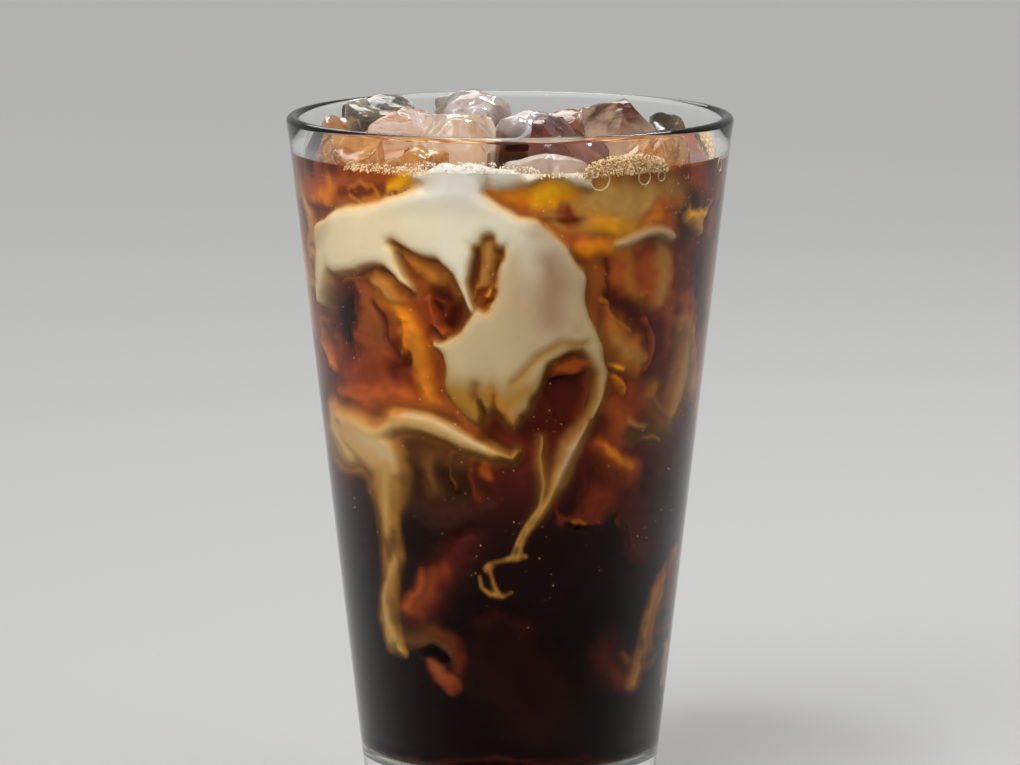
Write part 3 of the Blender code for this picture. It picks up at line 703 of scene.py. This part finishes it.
def paint_drink(points):
    """Colour and depth behind the wall of the clouds at points (x, y, z) in millimetres."""
    warp, warp_two = (noise_at(points, 6.0, seed) - 0.5 for seed in (1, 2))
    fine, fine_two = (noise_at(points, 1.6, seed) - 0.5 for seed in (3, 9))
    wall = outer_radius(points[:, 2])
    height = points[:, 2] + warp_two * 0.8 + fine_two * 0.3
    run = np.interp(np.degrees(angle_of(points)), SCALE_ANGLES, SCALE_RUN)
    run = run + (warp * 0.8 + fine * 0.3) / wall
    place = run, wall, height

    # The coffee and the coloured light behind the cream
    colour, depth = base_drink(points, height)
    loose = run + (warp * 1.5 + fine * 0.9) / wall, wall, height + warp_two * 1.5 + fine_two * 0.9
    lay_strokes(with_back(PATCHES), loose, colour, depth)
    patchy = noise_at(points, 2.6, 11, (1, 1, 0.7)) * 0.5 + noise_at(points, 1.1, 12) * 0.3
    colour *= (0.72 + 0.68 * patchy)[:, None]

    # The cream's outline, with the gaps cut out of it
    edge, shade, soft, cream_depth = join_strokes(with_back(CREAM, SIDE_CREAM), place)
    hole = join_strokes(with_back(GAPS), place)[0]
    edge = HOLE_SMOOTH * np.log(np.exp(np.clip(edge / HOLE_SMOOTH, -60, 60))
                                + np.exp(np.clip(-hole / HOLE_SMOOTH, -60, 60)))
    halo = fade(edge, HALO_WIDTH, 0) * HALO_SHARE
    colour = blend(colour, LINEAR["dark_gold"], halo * fade(height, 62, 82))

    # The cream itself: darker at its edge from thinning and painted shade, frayed low down
    mask = smooth_step(0.5 - edge / (soft * CREAM_SOFT))
    wisp = noise_at(points, 2.2, 14, (1, 1, 0.4)) * 0.6 + noise_at(points, 1.0, 15, (1, 1, 0.5)) * 0.4
    mask *= 1 - 0.6 * fade(height, 78, 60) * smooth_step((wisp - 0.42) * 3.5)
    # Painted shade and thinning darken the cream towards its edge
    thin_and_shaded = fade(edge, -THIN_AND_SHADED_WIDTH, 0)
    shade = shade * (1 - thin_and_shaded[:, None] * (1 - THIN_EDGE_AND_SHADE_TINT))
    streaks = noise_at(points + np.array([0, 0, 1]) * warp[:, None] * 9, 4.0, 13) - 0.5
    colour = blend(colour, shade * (1 + 0.04 * streaks[:, None]), mask)
    lay_strokes(with_back(TINTS), place, colour, cream_depth, mask)
    bulge = np.clip(-edge / BULGE_WIDTH, 0, 1)
    relief = cream_depth + BULGE * (1 - np.sqrt(1 - (1 - bulge) ** 2))
    relief -= TOP_PRESS * fade(points[:, 2], 127, 133)
    return colour, depth * (1 - mask) + relief * mask


def surface_colour(points):
    """The drink's surface between the lumps: coffee with cream in it, and dark in one gap at the front."""
    swirl = noise_at(points, 7.0, 21, (1, 1.6, 1)) * 0.6 + noise_at(points, 2.6, 22) * 0.4
    colour = np.tile(LINEAR["brown"], (len(points), 1))
    colour = blend(colour, LINEAR["tan"], fade(swirl, 0.36, 0.61))
    colour = blend(colour, LINEAR["cream"], fade(swirl, 1 / 2, 2 / 3))
    gap = np.hypot((points[:, 0] - 0.5) / 5.5, (points[:, 1] + 19) / 13)
    return blend(colour, LINEAR["dark_brown"], fade(gap, 1.2, 0.8))


def settle(piece):
    """Apply a piece's modifiers to its mesh."""
    view = bpy.context.evaluated_depsgraph_get()
    settled = bpy.data.meshes.new_from_object(piece.evaluated_get(view))
    old = piece.data
    piece.modifiers.clear()
    piece.data = settled
    bpy.data.meshes.remove(old)
    settled.name = piece.name
    return settled


def mesh_rows(mesh, what="co"):
    """The mesh's points, or their normals, as rows of three."""
    flat = np.zeros(len(mesh.vertices) * 3)
    mesh.vertices.foreach_get(what, flat)
    return flat.reshape(-1, 3)


def set_points(mesh, points):
    mesh.vertices.foreach_set("co", (points * MM).ravel())
    mesh.update()


def fine_wall(name, profile, material):
    """A body turned from its profile, with finer steps round the front than round the back."""
    piece = finish_piece(name, profile_line(profile)[0], material, ("coffee",))
    turning = piece.modifiers.new("turn", "SCREW")
    turning.axis = "Z"
    turning.angle = math.tau
    turning.steps = turning.render_steps = CLOUD_STEPS
    turning.use_merge_vertices = True
    turning.merge_threshold = TURN_WELD
    turning.use_smooth_shade = True
    mesh = settle(piece)
    points = mesh_rows(mesh) / MM
    angle = angle_of(points)
    radius = np.hypot(points[:, 0], points[:, 1])
    angle = angle - FRONT_FINER * np.sin(angle)
    points[:, 0] = radius * np.sin(angle)
    points[:, 1] = -radius * np.cos(angle)
    set_points(mesh, points)
    mesh.set_sharp_from_angle(angle=math.radians(75))
    return mesh


def cloud_piece(name, profile, material):
    """A body of coffee and cream whose side is dented and coloured by the strokes."""
    mesh = fine_wall(name, profile, material)
    points = mesh_rows(mesh) / MM
    colour, depth = paint_drink(points)
    radius = np.hypot(points[:, 0], points[:, 1])
    limit = inner_radius(points[:, 2])
    inside = fade(radius / limit, 0.55, 0.95)
    depth = np.minimum(depth, 7 - 5.4 * fade(points[:, 2], 124, 128))
    away = fade(limit - radius, 1.5, 5.5) * (points[:, 2] > CLOUD_TOP - 0.9)
    colour = blend(colour, surface_colour(points), away)
    points[:, 2] += lift_at(points, radius, limit) * fade(points[:, 2], CLOUD_TOP - 1.8, CLOUD_TOP)
    shrink = np.where(radius > 0.01, (radius - depth * inside) / np.maximum(radius, 0.01), 1.0)
    points[:, :2] *= shrink[:, None]
    set_points(mesh, points)
    paint = mesh.color_attributes.new("drink_colour", "FLOAT_COLOR", "POINT")
    paint.data.foreach_set("color", np.column_stack([colour, np.ones(len(colour))]).ravel())
    mesh.update()


def lift_at(points, radius, limit):
    """How far the cream stands up along the wall above the level of the drink."""
    angle = np.degrees(angle_of(points))
    rough = noise_at(points, 5.5, 31) * 0.75 + noise_at(points, 2.2, 32) * 0.25
    start = fade(angle, -31, -22)
    front = np.maximum(start * fade(angle, 8, -1), 0.28 * start * fade(angle, 25, 19))
    back = fade(angle % 360, 150, 159) * fade(angle % 360, 194, 185)
    near_wall = fade(radius - limit, -7.5, -2.5)
    return (0.3 + 1.0 * rough + (front + 0.8 * back) * (0.9 + 3.0 * rough)) * near_wall


def cloud_pieces(material):
    inner = inner_radius(CLOUD_SPLIT) - CLOUD_GAP - 1.2
    lower = [(0.0, FLOOR_HEIGHT), (8.0, FLOOR_HEIGHT), (15.0, FLOOR_HEIGHT + 0.1)]
    lower += floor_corner(CLOUD_GAP, 24)
    lower += wall_line(FLOOR_HEIGHT + CORNER_RADIUS + 0.4, CLOUD_SPLIT, ROW, CLOUD_GAP)
    lower.append((inner, CLOUD_SPLIT))
    lower += [(radius, CLOUD_SPLIT + SPLIT_OVERLAP) for radius in (inner, 20.0, 0.0)]
    upper = [(radius, CLOUD_SPLIT - SPLIT_OVERLAP) for radius in (0.0, 20.0, inner)]
    upper.append((inner, CLOUD_SPLIT))
    upper += wall_line(CLOUD_SPLIT, CLOUD_TOP - 0.8, ROW, CLOUD_GAP)
    edge = inner_radius(CLOUD_TOP) - CLOUD_GAP
    upper += [(edge - 0.1, CLOUD_TOP - 0.5), (edge - 0.3, CLOUD_TOP - 0.2)]
    upper += [(edge - inset, CLOUD_TOP) for inset in (0.8, 1.6, 2.6, 3.8, 5.2, 7.0, 9.5, 13, 18, 24, 30)]
    upper.append((0.0, CLOUD_TOP))
    cloud_piece("cream_clouds_low", lower[::-1], material)
    cloud_piece("cream_clouds_high", upper[::-1], material)


# Materials


def add_node(tree, kind, inputs=None, **settings):
    """A new node. Each of its inputs is given as a plain value or as another node's output."""
    made = tree.nodes.new("ShaderNode" + kind)
    for name, value in settings.items():
        setattr(made, name, value)
    return feed(tree, made, inputs or {})


def feed(tree, node, inputs):
    """Give a node's inputs plain values or other nodes' outputs."""
    for name, value in inputs.items():
        if isinstance(value, bpy.types.NodeSocket):
            tree.links.new(value, node.inputs[name])
        else:
            node.inputs[name].default_value = value
    return node


def new_material(name, inputs, shadow=None):
    """A new material, its nodes and its shader.

    With a shadow colour, shadow rays pass straight through, so that what lies inside is lit.
    """
    made = bpy.data.materials.new(name)
    made.use_nodes = True
    tree = made.node_tree
    shader = feed(tree, tree.nodes["Principled BSDF"], inputs)
    if shadow:
        path = add_node(tree, "LightPath")
        clear = add_node(tree, "BsdfTransparent", {"Color": shadow})
        mix = add_node(tree, "MixShader", {"Fac": path.outputs["Is Shadow Ray"], 1: shader.outputs["BSDF"],
                                           2: clear.outputs["BSDF"]})
        feed(tree, tree.nodes["Material Output"], {"Surface": mix.outputs["Shader"]})
    return made, tree, shader


def clear_glass():
    return new_material("clear_glass", {
        "Base Color": (0.97, 0.985, 0.98, 1), "Roughness": 0.0, "IOR": GLASS_IOR,
        "Specular Tint": (0.04, 0.04, 0.04, 1), "Transmission Weight": 1.0}, GLASS_SHADOW)[0]


def clear_coffee():
    made, tree, _ = new_material("coffee_clear", {
        "Base Color": (1, 1, 1, 1), "Roughness": 0.0, "IOR": COFFEE_IOR,
        "Specular Tint": (0.0, 0.0, 0.0, 1), "Transmission Weight": 1.0}, (1, 1, 1, 1))
    soak = add_node(tree, "VolumeAbsorption", {"Color": COFFEE_SOAK, "Density": SOAK_DENSITY})
    feed(tree, tree.nodes["Material Output"], {"Volume": soak.outputs["Volume"]})
    return made


def plain(name, shade, roughness, transmission, ior):
    return new_material(name, {
        "Base Color": (*linear(shade), 1), "Roughness": roughness, "IOR": ior,
        "Transmission Weight": transmission}, FROTH_SHADOW)[0]


def object_place(tree):
    return add_node(tree, "TexCoord").outputs["Object"]


def scaled(tree, place, scale):
    return add_node(tree, "Mapping", {"Vector": place, "Scale": scale}).outputs["Vector"]


def noise(tree, place, size_mm, detail, distortion=0.0, seed=None):
    """A noise texture with features of about this size."""
    made = add_node(tree, "TexNoise", noise_dimensions="3D" if seed is None else "4D")
    feed(tree, made, {"Vector": place, "Scale": 1 / (size_mm * MM), "Detail": detail,
                      "Distortion": distortion})
    if seed is not None:
        feed(tree, made, {"W": seed})
    return made


def ramp(tree, source, *stops):
    """Greys at places along a ramp."""
    made = add_node(tree, "ValToRGB", {"Fac": source})
    for element, (place, grey) in zip(made.color_ramp.elements, stops):
        element.position = place
        element.color = (grey, grey, grey, 1)
    return made.outputs["Color"]


def mix_colour(tree, factor, first, second, blend_type="MIX"):
    return add_node(tree, "Mix", {"Factor": factor, "A": first, "B": second}, data_type="RGBA",
                    blend_type=blend_type).outputs["Result"]


def times(tree, first, second):
    return add_node(tree, "Math", {0: first, 1: second}, operation="MULTIPLY").outputs["Value"]


def clouds():
    """Coffee and cream: the painted colour with fine wisps in it."""
    made, tree, shader = new_material("coffee_and_cream", {"Roughness": 0.6, "Specular IOR Level": 0.04})
    paint = add_node(tree, "Attribute", attribute_name="drink_colour")
    wisps = noise(tree, scaled(tree, object_place(tree), (1, 1, 0.7)), 3.0, 4, 0.6)
    shade = ramp(tree, wisps.outputs["Fac"], (0.3, 0.965), (0.7, 1.0))
    feed(tree, shader, {"Base Color": mix_colour(tree, 1.0, paint.outputs["Color"], shade, "MULTIPLY")})
    return made


ICE_SHADES = ("First", "Second", "Patch", "Fracture", "Foot")
ICE_SHARES = ("Patch Share", "Fracture Share", "Foot Share")


def ice_group():
    """Ice seen from outside: two shades in clouds, patches, fine fractures, and a stained foot."""
    tree = bpy.data.node_groups.new("ice_shades", "ShaderNodeTree")
    for names, kind in ((ICE_SHADES, "Color"), (ICE_SHARES, "Float"), (("Stretch",), "Vector"),
                        (("Seed",), "Float")):
        for name in names:
            tree.interface.new_socket(name, in_out="INPUT", socket_type="NodeSocket" + kind)
    tree.interface.new_socket("Color", in_out="OUTPUT", socket_type="NodeSocketColor")
    entry = tree.nodes.new("NodeGroupInput").outputs
    leave = tree.nodes.new("NodeGroupOutput")
    place = object_place(tree)
    stretched = scaled(tree, place, entry["Stretch"])

    def cloud(size_mm, detail, distortion, start, end):
        spread = noise(tree, stretched, size_mm, detail, distortion, entry["Seed"])
        return ramp(tree, spread.outputs["Fac"], (start, 0), (end, 1))

    result = mix_colour(tree, cloud(5.0, 5, 0.8, 0.38, 0.62), entry["First"], entry["Second"])
    share = times(tree, cloud(7.5, 3, 1.2, 0.50, 0.58), entry["Patch Share"])
    result = mix_colour(tree, share, result, entry["Patch"])

    wander = noise(tree, stretched, 3.0, 2).outputs["Color"]
    bend = add_node(tree, "Mix", {"Factor": 0.0016, "A": stretched, "B": wander}, data_type="VECTOR")
    cells = add_node(tree, "TexVoronoi", voronoi_dimensions="4D", feature="DISTANCE_TO_EDGE")
    feed(tree, cells, {"Scale": 1 / (5.5 * MM), "Vector": bend.outputs["Result"], "W": entry["Seed"]})
    line = ramp(tree, cells.outputs["Distance"], (0.0, 1), (0.07, 0))
    share = times(tree, times(tree, line, cloud(4.0, 2, 0.0, 0.42, 0.60)), entry["Fracture Share"])
    result = mix_colour(tree, share, result, entry["Fracture"])

    height = add_node(tree, "SeparateXYZ", {"Vector": place}).outputs["Z"]
    low = add_node(tree, "MapRange", {"Value": height, "From Min": (LEVEL + FOOT_FULL) * MM,
                                      "From Max": (LEVEL + FOOT_END) * MM, "To Min": 1.0, "To Max": 0.0})
    share = times(tree, low.outputs["Result"], entry["Foot Share"])
    feed(tree, leave, {"Color": mix_colour(tree, share, result, entry["Foot"])})
    return tree


def ice(group, name, kind, seed):
    shades, shares, stretch, transmission, roughness = kind
    made, tree, shader = new_material(name, {
        "Roughness": roughness, "IOR": ICE_IOR, "Transmission Weight": transmission,
        "Coat Weight": 0.6 if roughness < 0.2 else 0.1, "Coat Roughness": 0.04}, ICE_SHADOW)
    look = add_node(tree, "Group", node_tree=group)
    feed(tree, look, {socket: (*linear(shade), 1) for socket, shade in zip(ICE_SHADES, shades)})
    feed(tree, look, dict(zip(ICE_SHARES, shares)))
    feed(tree, look, {"Stretch": stretch, "Seed": seed})
    grain = noise(tree, object_place(tree), 1.3, 4).outputs["Fac"]
    bump = add_node(tree, "Bump", {"Strength": 0.30, "Distance": 0.4 * MM, "Height": grain})
    feed(tree, shader, {"Base Color": look.outputs["Color"], "Normal": bump.outputs["Normal"]})
    return made


# Kinds of ice: the shades of its two clouds, patches, fractures and foot; the shares of patches,
# fractures and foot; stretch, how much light passes through, roughness
ICE_KINDS = {
    "clear": (((150, 150, 128), (96, 96, 74), (60, 52, 38), (236, 238, 236), (112, 78, 46)),
              (0.7, 0.6, 0.6), (1, 1, 1), 0.75, 0.03),
    "clear_milky": (((206, 206, 194), (150, 148, 134), (120, 110, 90), (240, 240, 236), (170, 130, 96)),
                    (0.6, 0.6, 0.5), (1, 1, 1), 0.5, 0.06),
    "milky": (((208, 192, 182), (184, 164, 156), (216, 206, 206), (236, 232, 232), (112, 60, 38)),
              (0.7, 0.5, 0.9), (1, 1, 1), 0.25, 0.10),
    "milky_stained": (((200, 182, 172), (178, 156, 148), (210, 200, 200), (226, 218, 216), (58, 24, 14)),
                      (0.7, 0.5, 1.0), (1, 1, 1), 0.25, 0.10),
    "cream": (((230, 210, 192), (216, 192, 168), (206, 156, 92), (160, 100, 40), (224, 200, 174)),
              (0.5, 0.5, 0.6), (1, 1, 1), 0.20, 0.15),
    "amber": (((226, 172, 104), (188, 124, 58), (140, 78, 32), (244, 222, 184), (196, 130, 60)),
              (0.8, 0.8, 0.3), (1.2, 1.2, 1.2), 0.45, 0.08),
    "brown": (((176, 146, 120), (84, 52, 30), (92, 30, 8), (150, 118, 94), (206, 184, 166)),
              (0.8, 0.2, 0.85), (1, 1.4, 1.4), 0.30, 0.12),
    "wedge": (((150, 106, 94), (84, 44, 34), (152, 58, 20), (40, 14, 10), (136, 92, 82)),
              (0.8, 0.8, 0.8), (1, 1, 1), 0.45, 0.05),
    "streaked": (((238, 228, 222), (226, 206, 192), (204, 130, 66), (150, 84, 40), (212, 166, 124)),
                 (0.7, 0.6, 0.5), (0.8, 2.2, 3.6), 0.15, 0.12),
    "orange": (((204, 148, 116), (170, 120, 84), (110, 96, 56), (226, 206, 184), (150, 92, 54)),
               (0.6, 0.5, 0.6), (0.7, 1, 1), 0.40, 0.08),
    "dome": (((178, 150, 130), (164, 138, 118), (192, 168, 150), (196, 176, 158), (200, 178, 162)),
             (0.6, 0.2, 0.3), (0.8, 1, 1), 0.20, 0.25),
}
ICE_FINISH = {
    "ice_back_left": "clear",
    "ice_left_streaked": "streaked",
    "ice_left_small": "amber",
    "ice_centre_large": "milky",
    "ice_centre_back": "clear_milky",
    "ice_front_cream": "cream",
    "ice_centre_milky": "milky_stained",
    "ice_front_wedge": "wedge",
    "ice_front_dome": "dome",
    "ice_back_flat": "orange",
    "ice_right_large": "brown",
    "ice_right_small": "clear",
    "ice_left_wall": "amber",
    "ice_left_front": "amber",
    "ice_right_wall": "amber",
    "ice_back_right": "milky",
}


def ice_piece(node, material):
    """A lump of ice made from its solid: evenly meshed, with shallow melted hollows."""
    shape = bmesh.new()
    shape.from_mesh(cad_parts[node].data)
    bmesh.ops.remove_doubles(shape, verts=shape.verts[:], dist=WELD)
    piece = finish_piece(node + "_melting", shape, material, (node,))
    even = piece.modifiers.new("even_mesh", "REMESH")
    even.mode = "VOXEL"
    even.voxel_size = ICE_MESH * MM
    even.use_smooth_shade = True
    mesh = settle(piece)
    points = mesh_rows(mesh) / MM
    ridged = np.clip(1 - np.abs(noise_at(points, 6.0, 7) - 0.5) * 4, 0, 1)
    dents = ridged * 0.7 + noise_at(points, 4.0, 17) * 0.5 + noise_at(points, 1.6, 8) * 0.25
    set_points(mesh, points - mesh_rows(mesh, "normal") * dents[:, None])
    for polygon in mesh.polygons:
        polygon.use_smooth = True


# Bubbles and froth

# Shade, roughness, how much light passes through, IOR
FROTH_LOOKS = {
    "froth": ((244, 222, 182), 0.12, 0.25, 1.25),
    # froth_shaded is the same froth, darker, as painted shade among the bubbles
    "froth_shaded": ((176, 138, 84), 0.12, 0.35, 1.25),
    "cream_foam": ((238, 226, 212), 0.35, 0.2, 1.3),
    "bubble_film": ((232, 208, 170), 0.06, 0.6, 1.2),
    "fine_bubbles": ((236, 178, 110), 0.3, 0.0, 1.3),
    "bubbles_in_ice": ((216, 180, 130), 0.12, 0.5, 1.2),
}
# Heaps of froth: first and last angle, lowest and highest point, how many bubbles, their size, seed
FROTH = (
    ("froth_right", (20, 47, 135.6, 139.8, 1300, 0.15, 1), "froth", 1),
    ("froth_right_large", (21, 46, 135.8, 139.4, 150, 0.30, 21), "bubble_film", 2),
    ("froth_right_shaded", (20, 47, 135.2, 139.6, 600, 0.17, 11), "froth_shaded", 1),
    ("cream_foam", (-32, 8, 136.6, 139.0, 420, 0.15, 31), "cream_foam", 1),
    ("cream_foam_right", (6, 24, 135.6, 136.8, 200, 0.14, 32), "cream_foam", 1),
    ("froth_left", (-50, -22, 135.6, 137.8, 500, 0.13, 2), "froth", 1),
    ("froth_back", (140, 196, 135.6, 139.0, 1500, 0.17, 3), "froth", 1),
    ("froth_back_shaded", (140, 196, 135.6, 138.8, 700, 0.17, 13), "froth_shaded", 1),
    ("froth_side", (76, 106, 135.6, 138.0, 800, 0.16, 4), "froth", 1),
)
# Outlines of large bubbles at the wall: angle, height, radius, thickness
RINGS = ((24.6, 135.1, 2.0, 0.20), (38.5, 135.0, 1.4, 0.15), (44.5, 134.9, 0.9, 0.14),
         (118.0, 135.2, 1.5, 0.14), (-140.0, 135.2, 1.6, 0.14), (75.0, 135.0, 1.2, 0.12))
SPECKS = 1600
SPECKS_SEED = 5
SPECKS_LOW = 30
SPECKS_RISE = 102
# Bubbles held in the lumps at the wall: how many, seed
TRAPPED = {"ice_left_wall": (150, 6), "ice_left_front": (130, 7), "ice_right_wall": (150, 8),
           "ice_back_right": (90, 9)}


def bubbles(name, spots, material, fineness):
    """One piece of many small round bubbles at (x, y, z, radius) in millimetres."""
    shape = bmesh.new()
    for start in range(0, len(spots), BATCH):
        batch = bmesh.new()
        for x, y, z, radius in spots[start:start + BATCH]:
            place = Matrix.Translation((x * MM, y * MM, z * MM))
            bmesh.ops.create_icosphere(batch, subdivisions=fineness, radius=radius * MM, matrix=place)
        add_shape(shape, batch)
    finish_piece(name, shape, material)


def bubble_rings(name, material):
    """Thin round outlines of bubbles that press against the wall."""
    shape = bmesh.new()
    quarter = math.pi / 2
    for angle, z, radius, thickness in RINGS:
        ring = bmesh.new()
        bmesh.ops.create_circle(ring, segments=RING_SIDES, radius=thickness * MM)
        bmesh.ops.rotate(ring, verts=ring.verts[:], cent=(0, 0, 0), matrix=Matrix.Rotation(quarter, 3, "X"))
        bmesh.ops.translate(ring, verts=ring.verts[:], vec=(radius * MM, 0, 0))
        spin(ring, ring.verts[:] + ring.edges[:], RING_STEPS)
        bmesh.ops.recalc_face_normals(ring, faces=ring.faces[:])
        stand = Matrix.Rotation(math.radians(angle), 4, "Z") @ Matrix.Rotation(quarter, 4, "X")
        place = Matrix.Translation(Vector(wall_spot(angle, z, thickness + 0.1)) * MM)
        bmesh.ops.transform(ring, matrix=place @ stand, verts=ring.verts[:])
        add_shape(shape, ring)
    finish_piece(name, shape, material)


def wall_spot(angle, z, inset):
    turn = math.radians(angle)
    radius = inner_radius(z) - inset
    return radius * math.sin(turn), -radius * math.cos(turn), z


def froth_spots(start, end, low, high, count, size, seed):
    """Bubbles piled against the wall in a low heap between two angles."""
    chance = np.random.default_rng(seed)
    spots = []
    middle, half = (start + end) / 2, (end - start) / 2
    for _ in range(count):
        angle = chance.uniform(start, end)
        crown = low + (high - low) * max(0.0, 1 - ((angle - middle) / half) ** 2) ** 0.3
        z = chance.uniform(low, crown)
        radius = size * (0.5 + chance.random() ** 2 * 1.3)
        spots.append((*wall_spot(angle, z, radius + 0.1 + chance.random() * 0.9), radius))
    return spots


def specks():
    """Fine bubbles in the coffee close to the wall."""
    chance = np.random.default_rng(SPECKS_SEED)
    spots = []
    for _ in range(SPECKS):
        angle = chance.uniform(-180, 180)
        z = SPECKS_LOW + SPECKS_RISE * chance.random() ** 0.5
        spots.append((*wall_spot(angle, z, 0.12), 0.06 + 0.10 * chance.random() ** 3))
    return spots


def trapped(node, count, seed):
    """Bubbles held in a lump's skin, on the side that faces the wall."""
    chance = np.random.default_rng(seed)
    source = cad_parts[node].data
    faces = [face for face in source.polygons if face.normal.dot(face.center * Vector((1, 1, 0))) > 0.012]
    spots = []
    for index in chance.integers(0, len(faces), count):
        face = faces[int(index)]
        corners = [source.vertices[i].co for i in face.vertices]
        shares = chance.dirichlet(np.ones(len(corners)))
        place = sum((corner * float(share) for corner, share in zip(corners, shares)), Vector())
        radius = 0.07 + 0.20 * chance.random() ** 2
        spots.append((*(place / MM - face.normal * (0.3 + radius * 0.3)), radius))
    return spots


def froth_pieces():
    looks = {name: plain(name, *look) for name, look in FROTH_LOOKS.items()}
    for name, heap, look, fineness in FROTH:
        bubbles(name, froth_spots(*heap), looks[look], fineness)
    bubble_rings("bubble_outlines", looks["bubble_film"])
    bubbles("fine_bubbles", specks(), looks["fine_bubbles"], 1)
    inside = [spot for node, (count, seed) in TRAPPED.items() for spot in trapped(node, count, seed)]
    bubbles("bubbles_in_ice", inside, looks["bubbles_in_ice"], 2)


# Floor, lights and camera


def floor_and_lights():
    shape = bmesh.new()
    bmesh.ops.create_grid(shape, x_segments=1, y_segments=1, size=FLOOR_SIZE)
    floor = put_in_scene("floor", to_mesh("floor", shape))
    floor.data.materials.append(new_material("pale_floor", {"Base Color": FLOOR_GREY, "Roughness": 0.8})[0])
    world = bpy.data.worlds.new("studio")
    bpy.context.scene.world = world
    world.use_nodes = True
    feed(world.node_tree, world.node_tree.nodes["Background"],
         {"Color": STUDIO_GREY, "Strength": STUDIO_STRENGTH})
    for name, place, size, power in LAMPS:
        light = new_light(name, "AREA", power)
        light.data.size = size
        light.location = place
        light.rotation_euler = (Vector(LAMP_AIM) - Vector(place)).to_track_quat("-Z", "Y").to_euler()
    for name, tilt, strength in SUNS:
        light = new_light(name, "SUN", strength)
        light.data.angle = math.radians(SUN_SPREAD)
        light.rotation_euler = [math.radians(part) for part in tilt]


def new_light(name, kind, power):
    data = bpy.data.lights.new(name, kind)
    data.energy = power
    return put_in_scene(name, data)


def camera():
    data = bpy.data.cameras.new("camera")
    data.lens = CAMERA_LENS
    data.sensor_width = 36.0
    data.clip_start = 0.05
    data.clip_end = 20
    made = put_in_scene("camera", data)
    made.location = CAMERA_PLACE
    made.rotation_euler = (math.radians(90 - CAMERA_DOWN), 0, 0)
    bpy.context.scene.camera = made


def main():
    glass_piece(clear_glass())
    coffee_piece(clear_coffee())
    cloud_pieces(clouds())
    group = ice_group()
    kinds = {name: ice(group, "ice_" + name, kind, index * 1.7)
             for index, (name, kind) in enumerate(ICE_KINDS.items())}
    for node, kind in ICE_FINISH.items():
        ice_piece(node, kinds[kind])
    froth_pieces()
    floor_and_lights()
    camera()
    bpy.context.scene.view_settings.view_transform = "Standard"


main()
